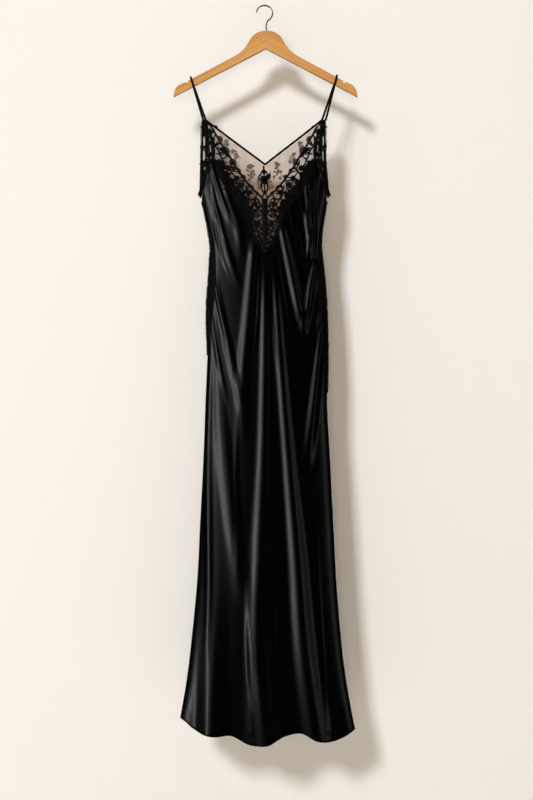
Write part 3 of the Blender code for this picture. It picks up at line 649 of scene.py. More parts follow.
def ramp(tree, value, stops):
    """Colours along a value: each stop is (position, colour)."""
    made = tree.nodes.new("ShaderNodeValToRGB")
    while len(made.color_ramp.elements) < len(stops):
        made.color_ramp.elements.new(0.5)
    for element, (position, colour) in zip(made.color_ramp.elements, stops):
        element.position = position
        element.color = (*colour, 1) if len(colour) == 3 else colour
    tree.links.new(value, made.inputs[0])
    return made.outputs["Color"]


print("a finish starts from", started.__name__, "and is raised by", bumped.__name__)


# %% [markdown]
# ## Satin
# Satin is woven so that long threads float on its face, so it mirrors softly and shows every
# crease. A sheen shader would glow at the edges as velvet does, so this is a plain half-smooth
# shader, nearly black, with crinkles of three sizes and the weave raised on it.


# %% Satin
def satin_finish(name, roughness):
    made, tree, shader = started(name, (0.0007, 0.0007, 0.0008), roughness, specular=0.20)
    at = object_coordinates(tree)
    weave = grouped(tree, WEAVE, Vector=at, Threads_per_metre=1400.0)
    crinkle = grouped(tree, CRINKLE, Vector=at, Size=55.0, Stretch=0.18)
    ripple = grouped(tree, CRINKLE, Vector=at, Size=130.0, Stretch=0.9)
    grain = grouped(tree, CRINKLE, Vector=at, Size=900.0, Stretch=0.5)
    bumped(
        tree,
        shader,
        [
            (crinkle.outputs[0], 0.24, 0.0010),
            (ripple.outputs[0], 0.09, 0.0006),
            (grain.outputs[0], 0.06, 0.0002),
            (weave.outputs[0], 0.06, 0.00010),
        ],
    )
    # The crinkles also make it a little rougher in places, by as much above the mean as below it.
    uneven = scaled(tree, crinkle.outputs[0], 0.12, roughness - 0.06)
    tree.links.new(uneven, shader.inputs["Roughness"])
    return made


SATIN = satin_finish("black_satin", 0.31)
ROULEAU = satin_finish("satin_rouleau", 0.5)
print("satin:", SATIN.name, ROULEAU.name)

# %% [markdown]
# ## Thread
# Embroidery thread is matte, and its strands take the light unevenly. Twisted strands of their own
# would be far too many faces, so fine noise shades and raises a plain round thread.


# %% Thread
def thread_finish(name, colour, size, specular):
    """Matte thread, with fine strands and small differences of shade."""
    made, tree, shader = started(name, colour, 0.72, specular=specular)
    at = object_coordinates(tree)
    strands = grouped(tree, CRINKLE, Vector=at, Size=size, Stretch=0.6)
    dark = tuple(c * 0.55 for c in colour)
    light = tuple(min(c * 1.8, 1.0) for c in colour)
    shade = ramp(tree, strands.outputs[0], [(0.3, dark), (0.7, light)])
    tree.links.new(shade, shader.inputs["Base Color"])
    bumped(tree, shader, [(strands.outputs[0], 0.5, 0.0004)])
    return made


THREAD = thread_finish("lace_thread", (0.0030, 0.0028, 0.0028), 700.0, 0.10)
SPRAY = thread_finish("spray_thread", (0.16, 0.125, 0.105), 900.0, 0.1)
STITCH = thread_finish("sewing_thread", (0.012, 0.012, 0.013), 1500.0, 0.3)
print("threads:", THREAD.name, SPRAY.name, STITCH.name)

# %% [markdown]
# ## Sheer net
# Net is mostly holes. Real holes would be millions of faces, so it is a thin skin whose weave lets
# most of the view through. Below a level line the net of the back is painted darker: painted shade
# for the shadow that falls behind it. Petals sewn on net take the same finish in other shades.


# %% Sheer net
def net_finish(name, colours, openness, painted_shade_colours=None, painted_shade_from=0.0, painted_shade_to=1.0):
    """Sheer net: a skin of thin threads that lets through the share given by openness."""
    made, tree, shader = started(name, colours[1], 0.85, specular=0.2)
    at = object_coordinates(tree)
    weave = grouped(tree, WEAVE, Vector=at, Threads_per_metre=420.0)
    cloudy = grouped(tree, CRINKLE, Vector=at, Size=38.0, Stretch=0.8)
    shade = ramp(tree, cloudy.outputs[0], [(0.3, colours[0]), (0.7, colours[1])])
    # Below a level line the net turns darker brown. This is painted shade, not a change in the net
    # itself.
    if painted_shade_colours:
        split = node(tree, "ShaderNodeSeparateXYZ")
        tree.links.new(at, split.inputs[0])
        fall = node(tree, "ShaderNodeMapRange")
        fall.inputs["From Min"].default_value = painted_shade_from
        fall.inputs["From Max"].default_value = painted_shade_to
        tree.links.new(split.outputs["Z"], fall.inputs["Value"])
        painted_shade = ramp(tree, cloudy.outputs[0], [(0.3, painted_shade_colours[0]), (0.7, painted_shade_colours[1])])
        blend = tree.nodes.new("ShaderNodeMix")
        blend.data_type = "RGBA"
        tree.links.new(fall.outputs[0], blend.inputs["Factor"])
        tree.links.new(shade, blend.inputs["A"])
        tree.links.new(painted_shade, blend.inputs["B"])
        shade = blend.outputs["Result"]
    tree.links.new(shade, shader.inputs["Base Color"])
    solid = math(tree, "MULTIPLY", weave.outputs[0], 0.16)
    clouds = math(tree, "MULTIPLY", cloudy.outputs[0], 0.14)
    alpha = math(tree, "ADD", math(tree, "ADD", solid, clouds), 1 - openness - 0.15)
    tree.links.new(alpha, shader.inputs["Alpha"])
    bumped(tree, shader, [(weave.outputs[0], 0.3, 0.0002)])
    return made


SHEER = net_finish("sheer_petal", ((0.030, 0.026, 0.023), (0.085, 0.072, 0.062)), openness=0.50)
SPRAY_PETAL = net_finish("spray_petal", ((0.20, 0.16, 0.135), (0.30, 0.245, 0.21)), openness=0.50)
NUDE_NET = net_finish(
    "nude_net",
    ((0.58, 0.48, 0.41), (0.72, 0.62, 0.54)),
    openness=0.45,
    # painted shade: below this level the net takes these darker colours
    painted_shade_colours=((0.30, 0.20, 0.145), (0.50, 0.36, 0.27)),
    painted_shade_from=-0.380,
    painted_shade_to=-0.396,
)
print("net:", SHEER.name, SPRAY_PETAL.name, NUDE_NET.name)

# %% [markdown]
# ## Lace ground
# Between its cords lace has a ground of fine net, open in the windows and close elsewhere. Cutting
# the windows out would leave stiff edges, so each band carries a map of how near a point is to its
# cords, and the finish opens the net where that map falls below one, along a ragged line.


# %% Lace ground
def ground_finish():
    """Lace ground: open net up to the line where v reaches 1, and close matte lace beyond it."""
    made, tree, shader = started("neck_ground", (0.003, 0.003, 0.003), 0.85, specular=0.05)
    at = object_coordinates(tree)
    weave = grouped(tree, WEAVE, Vector=at, Threads_per_metre=420.0)
    flowers = grouped(tree, CRINKLE, Vector=at, Size=160.0, Stretch=0.9)
    layout = node(tree, "ShaderNodeUVMap", uv_map="cloth")
    split = node(tree, "ShaderNodeSeparateXYZ")
    tree.links.new(layout.outputs[0], split.inputs[0])
    round_it = math(tree, "SINE", math(tree, "MULTIPLY", split.outputs["X"], 7.3))
    wave = math(tree, "MULTIPLY", round_it, 0.05)
    ragged = math(tree, "MULTIPLY", math(tree, "SUBTRACT", flowers.outputs[0], 0.5), 0.7)
    reach = math(tree, "ADD", math(tree, "ADD", split.outputs["Y"], wave), ragged)
    close = math(tree, "GREATER_THAN", reach, 1.0)
    thin = scaled(tree, weave.outputs[0], 0.08, 0.03)
    tree.links.new(math(tree, "MAXIMUM", close, thin), shader.inputs["Alpha"])
    shades = [(0.35, (0.0010, 0.0010, 0.0010)), (0.65, (0.0050, 0.0048, 0.0048))]
    shade = ramp(tree, flowers.outputs[0], shades)
    tree.links.new(shade, shader.inputs["Base Color"])
    bumped(tree, shader, [(flowers.outputs[0], 0.6, 0.0012), (weave.outputs[0], 0.3, 0.0002)])
    return made


GROUND = ground_finish()
print("lace ground:", GROUND.name)

# %% [markdown]
# ## Varnished wood and wire
# The hanger is varnished beech, and its grain runs along each arm. One noise stretched along a
# straight line would cross the arms, so height is taken along the arm's own slope first. The hook
# is bright wire, with fine lines from drawing.


# %% Wood and wire
ARM_SLOPE = 0.53  # fall of an arm for each step outwards


def wood_finish():
    made, tree, shader = started("varnished_beech", (0.55, 0.31, 0.13), 0.36, specular=0.5)
    shader.inputs["Coat Weight"].default_value = 0.35
    shader.inputs["Coat Roughness"].default_value = 0.22
    at = object_coordinates(tree)
    split = node(tree, "ShaderNodeSeparateXYZ")
    tree.links.new(at, split.inputs[0])
    fall = math(tree, "MULTIPLY", math(tree, "ABSOLUTE", split.outputs["X"]), ARM_SLOPE)
    level = math(tree, "ADD", split.outputs["Z"], fall)
    grain_at = node(tree, "ShaderNodeCombineXYZ")
    for axis, value, per_metre in (
        ("X", split.outputs["X"], 6.0), ("Y", split.outputs["Y"], 60.0), ("Z", level, 190.0),
    ):  # fmt: skip
        tree.links.new(math(tree, "MULTIPLY", value, per_metre), grain_at.inputs[axis])
    grain = node(tree, "ShaderNodeTexNoise", Scale=1.0, Detail=6.0, Roughness=0.6, Distortion=0.4)
    tree.links.new(grain_at.outputs[0], grain.inputs["Vector"])
    colour = ramp(
        tree,
        grain.outputs["Fac"],
        [(0.25, (0.44, 0.19, 0.058)), (0.5, (0.62, 0.31, 0.10)), (0.75, (0.74, 0.42, 0.155))],
    )
    tree.links.new(colour, shader.inputs["Base Color"])
    bumped(tree, shader, [(grain.outputs["Fac"], 0.12, 0.0006)])
    return made


def steel_finish():
    made, tree, shader = started("bright_wire", (0.62, 0.62, 0.62), 0.25, metallic=1.0)
    at = object_coordinates(tree)
    drawn = grouped(tree, CRINKLE, Vector=at, Size=700.0, Stretch=0.2)
    tree.links.new(scaled(tree, drawn.outputs[0], 0.2, 0.14), shader.inputs["Roughness"])
    bumped(tree, shader, [(drawn.outputs[0], 0.15, 0.0001)])
    return made


WOOD = wood_finish()
STEEL = steel_finish()
print("hanger:", WOOD.name, STEEL.name)

# %% [markdown]
# ## The satin front and back
# Each panel is one sheet from its top edge to its hem. Its columns start evenly along the top
# edge, spread out below it and end evenly at the hem; its rows level out on the way down. The
# sheet follows the ridges and fine creases of the tables and has the thickness of real cloth.

# %% Tables of the edges
NeckSection = namedtuple("NeckSection", "edge_x edge_z foot_x foot_z")
NECK_LACE = [NeckSection(*row) for row in (
    (134, -258, 130, -263), (119, -286, 124, -292), (102, -313, 118, -319), (87, -336, 115, -345),
    (77, -351, 109, -371), (67, -366, 101, -393), (56, -382, 90, -413), (44, -399, 76, -433),
    (32, -414, 61, -453), (20, -426, 47, -469), (8, -437, 39, -489), (0, -452, 34, -506),
    (0, -472, 30, -520), (0, -494, 24, -533), (0, -517, 17, -544), (0, -539, 9, -554),
    (0, -557, 2.4, -560.2),
)]  # fmt: skip
CORNER = 3  # the section at which neck lace and armhole lace meet
V_POINT_Z = -563
BACK_LOW_Z = -575  # the middle of the back panel's top edge
ArmholeSection = namedtuple("ArmholeSection", "edge_x edge_z foot_x foot_z")
ARMHOLE_LACE = [ArmholeSection(*row) for row in (
    (140, -258, 130, -263), (140.5, -290, 124, -292), (141, -318, 118, -319),
    (141, -345, 115, -345), (141, -371, 123.5, -369), (142, -396, 129, -393),
    (144, -416, 135, -415), (149, -431, 141, -431),
)]  # fmt: skip
UNDERARM_Z = -438
UNDERARM_T = 0.96
# Share of each half that the side lace takes, from the underarm down to its end.
SIDE_LACE_SHARE = (0.04, 0.13, 0.22, 0.29, 0.33, 0.34, 0.32, 0.26, 0.16, 0.0)
SIDE_LACE_END = {"left": -815, "right": -900}
print(len(NECK_LACE), "sections of neck lace,", len(ARMHOLE_LACE), "of armhole lace")


# %% Top edges
BACK_BEND = 1.6  # above 1, the back's edge is flatter in the middle


def side_share(z, side):
    s = (UNDERARM_Z - z) / (UNDERARM_Z - SIDE_LACE_END[side])
    return np.where(s < 1, along(SIDE_LACE_SHARE, s), 0.0)


def front_top_edge():
    armhole = [(row.foot_x, row.foot_z) for row in ARMHOLE_LACE[:CORNER:-1]]
    underarm = (centre_and_half(UNDERARM_Z)[1] * sin(UNDERARM_T * pi / 2), UNDERARM_Z - 1)
    lace = [(row.foot_x, row.foot_z) for row in NECK_LACE[CORNER:-1]]
    half = [underarm] + armhole + lace + [(0.0, V_POINT_Z)]
    line = np.array([(-x, z) for x, z in half] + half[-2::-1])
    line[1:-1, 0] = off_axis(line[1:-1, 0], line[1:-1, 1])
    return line


def back_edge_z(q):
    return mix(BACK_LOW_Z, UNDERARM_Z, np.abs(q) ** BACK_BEND)


def back_top_edge(count=25):
    q = np.linspace(-1, 1, count)
    z = back_edge_z(q)
    return np.stack([centre_and_half(z)[1] * np.sin(q * UNDERARM_T * pi / 2), z], axis=1)


print("stations of the top edges:", len(front_top_edge()), "and", len(back_top_edge()))

# %% Sheets of satin
SETTLE = 0.28  # share of the height in which the columns spread out to even steps
CLOSER_ABOVE = 1.12  # above 1, rows lie closer at the top
TUCK = 0.4  # how far the sheet starts below its edge
CLOTH = 0.5  # thickness


def panel_grid(top, facing, columns, rows):
    """t and z of every point of a panel."""
    steps = np.linspace(0, len(top) - 1, columns + 1)
    known = np.arange(len(top))
    x_top = np.interp(steps, known, top[:, 0])
    z_top = np.interp(steps, known, top[:, 1]) - TUCK
    even = np.linspace(-1, 1, columns + 1)
    hem = along(HEM[facing], (even + 1) / 2)
    down = (np.linspace(0, 1, rows + 1) ** CLOSER_ABOVE)[:, None]
    z = mix(z_top, hem, down)
    t = mix(t_of(x_top, z_top), even, smooth(down / SETTLE))
    t[:, 0], t[:, -1] = even[0], even[-1]
    share = np.where(even < 0, side_share(z, "left"), side_share(z, "right"))
    return t * (1 - share * t * t), z


def satin_panel(name, facing, top, columns, rows):
    t, z = panel_grid(top, facing, columns, rows)
    outer = dress_surface(t, z, facing)
    inner = outer - dress_normal(t, z, facing) * CLOTH
    return shell(name, outer, inner, SATIN)


front_satin = satin_panel("front_satin", "front", front_top_edge(), columns=150, rows=290)
back_satin = satin_panel("back_satin", "back", back_top_edge(), columns=120, rows=220)
for piece, cad_node, flat, area in (
    (front_satin, "front", (0.62, 1.36), 0.50),
    (back_satin, "back", (0.60, 1.22), 0.46),
):
    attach(piece, BODY)
    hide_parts(cad_node)
print("satin:", len(front_satin.data.vertices), "and", len(back_satin.data.vertices), "points")

# %% [markdown]
# ## Lace shapes
# Corded lace is drawn with one long thread: it winds into roses, leaves, rings and scrolls, and
# runs on as bars between them. A picture of lace would lie flat, so each shape here is a few lines
# on a flat unit square; a placing function sizes, turns and mirrors it and lays it on the form.


# %% Shapes in the flat
def circle_points(count, turns=1.0):
    return np.linspace(0, 2 * pi * turns, count)


def lobed(radius, lobes, depth, count):
    a = circle_points(count)
    reach = radius * (1 - depth + depth * np.abs(np.cos(a * lobes / 2)))
    return np.stack([reach * np.cos(a), reach * np.sin(a)], axis=1)


def spiral(inner, outer, turns, count):
    a = circle_points(count, turns)
    reach = np.linspace(inner, outer, count)
    return np.stack([reach * np.cos(a), reach * np.sin(a)], axis=1)


def leaf_outline(count=13):
    s = np.linspace(0, 1, count)
    half = 0.30 * np.sin(pi * s**0.8)
    upper = np.stack([s, half + 0.10 * s * (1 - s)], axis=1)
    lower = np.stack([s, -half], axis=1)[::-1]
    return np.concatenate([upper, lower[1:]])


# Each shape has its threads, as (line, thickness), and the outlines of its filled petals.
Shape = namedtuple("Shape", "threads petals")
RIB = np.array([(-0.25, -0.06), (0.1, 0.0), (0.5, 0.04), (0.95, 0.02)])
FAN_ANGLES = np.linspace(pi, 0, 19)
FAN_REACH = 0.92 + 0.08 * np.abs(np.sin(FAN_ANGLES * 3.5))
FAN = np.stack([np.cos(FAN_ANGLES) * FAN_REACH, 0.78 * np.sin(FAN_ANGLES) * FAN_REACH], axis=1)
# Slanting stitches that fill a leaf from side to side.
LEAF = leaf_outline()
STITCHED = [(np.stack([LEAF[n], LEAF[-n - 2]]), 1.1) for n in range(2, 11)]
SHAPES = {
    "rose": Shape(
        [(lobed(1.0, 5, 0.22, 31), 1.0), (spiral(0.12, 0.72, 2.1, 30), 0.85)],
        [lobed(0.98, 5, 0.22, 31)[:-1]],
    ),
    "petal": Shape([(lobed(1.0, 3, 0.25, 19), 0.8)], [lobed(0.95, 3, 0.25, 19)[:-1]]),
    "fan": Shape(
        [(FAN, 1.0), (FAN * 0.55, 0.6)]
        + [(np.stack([FAN[n] * 0.15, FAN[n]]), 0.6) for n in (5, 9, 13)],
        [FAN],
    ),
    "solid_leaf": Shape([(leaf_outline(), 0.9), (RIB, 0.8)] + STITCHED, [leaf_outline()[:-1]]),
    "bud": Shape([(spiral(0.15, 1.0, 1.4, 18), 0.9)], [lobed(0.85, 3, 0.1, 13)[:-1]]),
    "leaf": Shape([(leaf_outline(), 0.8), (RIB, 0.8)], [leaf_outline()[:-1]]),
    "bare_leaf": Shape([(leaf_outline(), 0.85), (RIB, 0.7)], []),
    "ring": Shape([(lobed(1.0, 4, 0.06, 17), 1.0)], []),
    "scroll": Shape(
        [(np.concatenate([spiral(0.15, 0.55, 1.3, 16), [(-0.5, 0.75), (-1.3, 0.9)]]), 1.0)], []
    ),
}
print("lace shapes:", ", ".join(SHAPES))


# %% Laying shapes on the form
def laid(line, x, z, size, turn, mirror=1):
    """A flat shape's points, sized, turned by degrees and moved to (x, z)."""
    a = radians(turn)
    across = (line[:, 0] * cos(a) - line[:, 1] * sin(a)) * size
    up = (line[:, 0] * sin(a) + line[:, 1] * cos(a)) * size
    return np.stack([x + mirror * across, z + up], axis=1)


def front(x, z):
    """The front at distances from the neckline's middle."""
    return on_dress(off_axis(x, z), z, "front")


def moved_in(depth):
    """The inside of the back, at a depth below its outer face."""

    def surface(x, z):
        points, normals = on_dress(x, z, "back")
        return points - normals * depth, -normals

    return surface


def new_work():
    return {"threads": [], "petals": []}


def lay(work, kind, x, z, size, turn, mirror=1, lift=0.5, thickness=0.7):
    """Adds one shape's threads and petals to the lists in work."""
    shape = SHAPES[kind]
    for line, share in shape.threads:
        there = laid(line, x, z, size, turn, mirror)
        work["threads"].append((there, thickness * share, lift + thickness * 0.6))
    for outline in shape.petals:
        work["petals"].append((laid(outline, x, z, size, turn, mirror), lift))


def run(work, line, thickness, lift):
    work["threads"].append((line, thickness, lift))


sample = new_work()
lay(sample, "rose", 0, -600, 5, 0)
print("a rose takes", len(sample["threads"]), "threads and", len(sample["petals"]), "petal")

# %% Threads and petals
PETAL_THICK = 0.3
THREAD_SIDES = 5


def thread_parts(surface, threads):
    """Round threads along flat lines, all bent onto the surface in one go."""
    lines = [line for line, _, _ in threads]
    counts = [len(line) for line in lines]
    flat = np.concatenate(lines)
    points, normals = surface(flat[:, 0], flat[:, 1])
    thick = np.repeat([thickness for _, thickness, _ in threads], counts)[:, None]
    points = points + normals * np.repeat([lift for _, _, lift in threads], counts)[:, None]
    starts = np.concatenate([[0], np.cumsum(counts)])
    along_it = np.concatenate(
        [np.gradient(points[a:b], axis=0) for a, b in zip(starts, starts[1:])]
    )
    along_it /= np.linalg.norm(along_it, axis=1, keepdims=True) + 1e-9
    beside = np.cross(normals, along_it)
    beside /= np.linalg.norm(beside, axis=1, keepdims=True) + 1e-9
    above = np.cross(along_it, beside)
    turns = np.arange(THREAD_SIDES) * 2 * pi / THREAD_SIDES
    up_share, beside_share = np.cos(turns)[None, :, None], np.sin(turns)[None, :, None]
    around = above[:, None] * up_share + beside[:, None] * beside_share
    rings = points[:, None] + thick[:, None] * around
    faces = []
    for a, b in zip(starts, starts[1:]):
        for i in range(a, b - 1):
            for n in range(THREAD_SIDES):
                m = (n + 1) % THREAD_SIDES
                low, high = i * THREAD_SIDES, (i + 1) * THREAD_SIDES
                faces.append((low + n, low + m, high + m, high + n))
        faces.append(tuple(a * THREAD_SIDES + n for n in range(THREAD_SIDES)))
        faces.append(tuple((b - 1) * THREAD_SIDES + n for n in range(THREAD_SIDES)))
    return rings.reshape(-1, 3), faces


def petal_parts(surface, petals, dome=0.6):
    """Thin filled petals, raised at their middles."""
    outlines, lifts, faces, start = [], [], [], 0
    for outline, lift in petals:
        count = len(outline)
        middle = outline.mean(axis=0, keepdims=True)
        outlines += [outline, middle, outline, middle]
        lifts += [lift] * count + [lift + dome]
        lifts += [lift - PETAL_THICK] * count + [lift + dome - PETAL_THICK]
        for n in range(count):
            m = (n + 1) % count
            a, b, under = start + n, start + m, start + count + 1
            faces.append((a, b, start + count))
            faces.append((under + m, under + n, under + count))
            faces.append((b, a, under + n, under + m))
        start += 2 * count + 2
    flat = np.concatenate(outlines)
    points, normals = surface(flat[:, 0], flat[:, 1])
    return points + normals * np.array(lifts)[:, None], faces


print("a petal of 5 points gives", len(petal_parts(front, [(np.eye(5)[:, :2], 0)])[1]), "faces")


# %% Bands of lace
def band_xz(sections, u, v):
    """Points of a lace band at section u and share v of its width, as x and z."""
    keys = np.arange(len(sections))
    edge_x, edge_z = (through(keys, column(sections, name), u) for name in ("edge_x", "edge_z"))
    foot_x, foot_z = (through(keys, column(sections, name), u) for name in ("foot_x", "foot_z"))
    return mix(edge_x, foot_x, v), mix(edge_z, foot_z, v)


def band_line(sections, stations, sign, steps=40):
    """A smooth line through (u, v) stations of a band."""
    uv = spread(stations, steps)
    x, z = band_xz(sections, uv[:, 0], uv[:, 1])
    return np.stack([sign * x, z], axis=1)


print("a band runs from", band_xz(NECK_LACE, 0, 0), "to", band_xz(NECK_LACE, 16, 1))

# %% [markdown]
# ## The neckline lace
# On each side of the V a band of lace runs from the strap to the point of the V. A corded line
# borders the opening, with roses standing beyond it. Between that cord and the satin are open
# windows, joined by leaves, rings and scrolls; nearer the satin the lace is close and matte.

# %% Neck lace tables
SIDES = {"left": -1, "right": 1}
# Share of the band's width at which the close, matte part starts, at each section.
CLOSE_FROM = (
    1.1, 1.1, 1.1, 0.99, 0.46, 0.49, 0.49, 0.5, 0.37, 0.54, 0.66, 0.80, 0.80, 0.82, 0.80, 0.74, 0.5,
)  # fmt: skip
# Distances are from the neckline's middle, on the right; the left is its mirror image.
Motif = namedtuple("Motif", "kind x z size turn")
NECK_MOTIFS = [Motif(*row) for row in (
    ("ring", 102.2, -313.6, 3.4, 0), ("leaf", 108, -318.9, 6.5, 150),
    ("ring", 98.1, -328.5, 2.8, 0), ("solid_leaf", 95.2, -336.6, 10.5, 150),
    ("leaf", 83.3, -345.5, 6.5, 40), ("bud", 117.2, -287.2, 2.6, 0),
    ("bare_leaf", 115.4, -309.1, 9.5, 75), ("rose", 82, -373.2, 5.8, 20),
    ("bud", 74, -362.9, 3.0, 60), ("leaf", 69.9, -375.2, 7.0, 140), ("rose", 63.4, -396, 5.0, 50),
    ("rose", 55.1, -411.6, 6.0, 10), ("ring", 39.9, -417.2, 2.6, 0),
    ("rose", 34.1, -428.7, 4.4, 30), ("leaf", 26, -446.4, 7.0, 170), ("bud", 37.6, -436.3, 3.0, 0),
    ("rose", 21.1, -455, 4.2, 60), ("petal", 14.3, -456.4, 5.5, 100), ("rose", 22, -470.5, 4.2, 0),
    ("petal", 17.5, -481.5, 4.5, 60), ("ring", 9.4, -470.8, 2.6, 0), ("rose", 13.9, -499, 4.0, 30),
    ("petal", 13.5, -510.6, 5.0, 70), ("bud", 6.3, -520.9, 2.6, 0), ("bud", 13.5, -529.7, 2.8, 40),
    ("leaf", 7.6, -544.2, 5.0, 80), ("rose", 0.4, -554.5, 4.6, 0), ("petal", 0.3, -560, 4.0, 0),
)]  # fmt: skip
# Half-roses that stand beyond the edge cord, each with its threads fanned out.
NECK_FANS = [Motif(*row) for row in (
    ("fan", 110.2, -278.3, 4.0, 52), ("fan", 101.1, -307.2, 8.5, 58),
    ("fan", 86.5, -333.5, 9.5, 52), ("fan", 70.4, -360, 8.5, 54), ("fan", 58.3, -379.5, 4.8, 52),
    ("fan", 47.1, -394.1, 5.0, 50), ("fan", 30.5, -418.2, 6.5, 46), ("fan", 16.1, -431.1, 3.6, 44),
)]  # fmt: skip
# Corded lines: radius, then the (x, z) stations that each runs through. The first borders the
# opening, and the last is the seam from the opening's point down to the satin.
NECK_CORDS = [
    (2.1, [(120.1, -276.6), (114.6, -284.8), (110.2, -294.2), (106.9, -300.1), (101.3, -309.5),
     (96.9, -317.6), (92.4, -325.8), (86.9, -335.1), (80.2, -344.4), (74.6, -353.7), (70.2, -363),
     (63.5, -373.4), (56.8, -382.7), (50, -393.2), (43.3, -402.4), (35.4, -411.6), (26.5, -423),
     (17.5, -431.1), (9.7, -437.9), (3.6, -444.7)]),
    (1.7, [(109.1, -294.3), (112.5, -301.3), (113.7, -310.5), (110.6, -322.1), (105.5, -329.1),
     (101.1, -338.4), (97.8, -347.6), (92.3, -358.1)]),
    (2.9, [(122.7, -282.4), (121.2, -294.1), (118.7, -305.8), (116, -315.1), (114, -326.6),
     (113, -335.9), (113.8, -347.4)]),
    (1.5, [(131.1, -263.6), (125.6, -270.7), (120.1, -276.6)]),
    (1.0, [(118.9, -290.7), (114.6, -290.9), (110.2, -292.8)]),
    (1.1, [(100.4, -339.8), (94.5, -341.2), (86.9, -339), (80.2, -343.9)]),
    (1.0, [(94.9, -351.4), (90.1, -349.6), (85.7, -345.5), (82.4, -342.3)]),
    (0.9, [(107.6, -339.4), (104.4, -339.9), (101.1, -338.8)]),
    (0.9, [(107.7, -326.7), (102.3, -325.9), (97.9, -328.7), (92.4, -327.4)]),
    (1.1, [(95.6, -352.3), (91.2, -361.5), (85.7, -369.7), (79.1, -374.4), (74.6, -379),
     (66.8, -380.7), (59, -383.6), (51.1, -392)]),
    (1.0, [(78, -354.8), (76.9, -364), (72.2, -371), (73.1, -380.2)]),
    (1.0, [(86.8, -380), (80.2, -385.8), (75.7, -382.5), (70.2, -388.3), (64.6, -394.1),
     (59, -396.5), (51.1, -393.8)]),
    (1.1, [(64.6, -401.9), (57.8, -401.5), (47.5, -402.6), (42.2, -404)]),
    (1.2, [(48.9, -403), (48.2, -412.6), (49.8, -421.6), (45.5, -427.4)]),
    (0.9, [(63.4, -402.1), (60.5, -410.1), (54.2, -418.2)]),
    (1.3, [(35.4, -411.6), (37.7, -418.4), (41, -421.8), (37.6, -427.5), (30.9, -432.1),
     (25.3, -431)]),
    (1.1, [(41.2, -424), (39.9, -433.1), (34.3, -442.3), (27.6, -445), (20.8, -440.1),
     (17.5, -432.2)]),
    (1.5, [(26.5, -423), (30.9, -429.6), (35.4, -437.7), (32.5, -445.7), (27.6, -453.6),
     (22, -459.9), (15.2, -465.6), (9.6, -462.7)]),
    (1.0, [(20.8, -440.1), (14.1, -446.9), (11.7, -454.8), (6.3, -461.6)]),
    (1.2, [(27.6, -458.1), (28.2, -467.1), (25.1, -476.1), (26.9, -485), (24.2, -492.7),
     (15.2, -494.1), (6.3, -489.6)]),
    (1.0, [(15.9, -466), (14.6, -473.9), (18.6, -479.3), (13.4, -482.9), (6.3, -477.3)]),
    (1.1, [(19.7, -498.5), (20.6, -507.4), (16.6, -516.4), (10.8, -522), (5, -525.3)]),
    (0.9, [(5.4, -500.8), (10.3, -505.3), (5.4, -513.1)]),
    (1.0, [(13, -525.3), (11.7, -532), (8.5, -535.5), (4.5, -533.1)]),
    (4.2, [(1.4, -444.7), (1.8, -460.5), (1.6, -478.4), (1.4, -496.4), (1.1, -514.2), (0.9, -532),
     (0.5, -552)]),
]  # fmt: skip
print(len(NECK_MOTIFS + NECK_FANS), "shapes and", len(NECK_CORDS), "cords on each side of the V")


# %% Makers of a band
def uneven(seed, count):
    """Random numbers from -1 to 1, the same on each run."""
    return np.random.default_rng(seed).uniform(-1.0, 1.0, count)


def finish_lace(surface, work, side, part, ground, node):
    """Makes the threads and petals of one band, which go with its ground."""
    threads = gathered(f"{part}_threads_{side}", [thread_parts(surface, work["threads"])], THREAD)
    petals = gathered(f"{part}_petals_{side}", [petal_parts(surface, work["petals"])], SHEER)
    made = [threads, petals]
    for piece in [ground] + made:
        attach(piece, BODY)
    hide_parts(node)
    return made


def sheet_area(obj):
    """Area of one face of a thin sheet, in square metres."""
    return sum(face.area for face in obj.data.polygons) / 2


def add_uv(obj, uv):
    layer = obj.data.uv_layers.new(name="cloth")
    of_point = np.asarray(uv, float)
    loops = np.empty(len(obj.data.loops), dtype=int)
    obj.data.loops.foreach_get("vertex_index", loops)
    layer.data.foreach_set("uv", of_point[loops].ravel())


def nearest(points, lines):
    """Distance from each point to the nearest of the lines, all in the flat."""
    counts = [max(2, int(np.hypot(*np.ptp(line, axis=0))) * 2) for line in lines]
    stations = np.concatenate([spread(line, count) for line, count in zip(lines, counts)])
    tree = KDTree(len(stations))
    for n, (x, z) in enumerate(stations):
        tree.insert((x, z, 0), n)
    tree.balance()
    return np.array([tree.find((x, z, 0))[2] for x, z in points])


print("three uneven numbers:", np.round(uneven(1, 3), 2))

# %% Ground of a band
GROUND_THICK = 0.3
GROUND_DEPTH = 0.2  # how far the ground lies below the outer face
ARMHOLE_WINDOWS = [  # x and z of the middle, and half the width and height
    (134.3, -311, 2.2, 11), (134.2, -342, 2.2, 14), (132.2, -372, 1.6, 6), (131.4, -393, 1.5, 4),
    (120.8, -327, 2.3, 10), (126.6, -347, 2.2, 3), (125.6, -300, 1.8, 4), (121.4, -306, 1.8, 4),
    (124.2, -337, 1.5, 3), (119.0, -349, 1.4, 3), (125.4, -369, 1.4, 3),
]  # fmt: skip
WINDOW_EDGE = 0.6  # how fast the ground closes beyond a window
CLOTHWORK, CLOTH_EDGE = 1.5, 0.3  # how far the close ground reaches beside a thread, and its fall
KNOT, KNOT_SIZE = (137, -272), (11, 24)  # solid lace round the point where the straps are sewn on


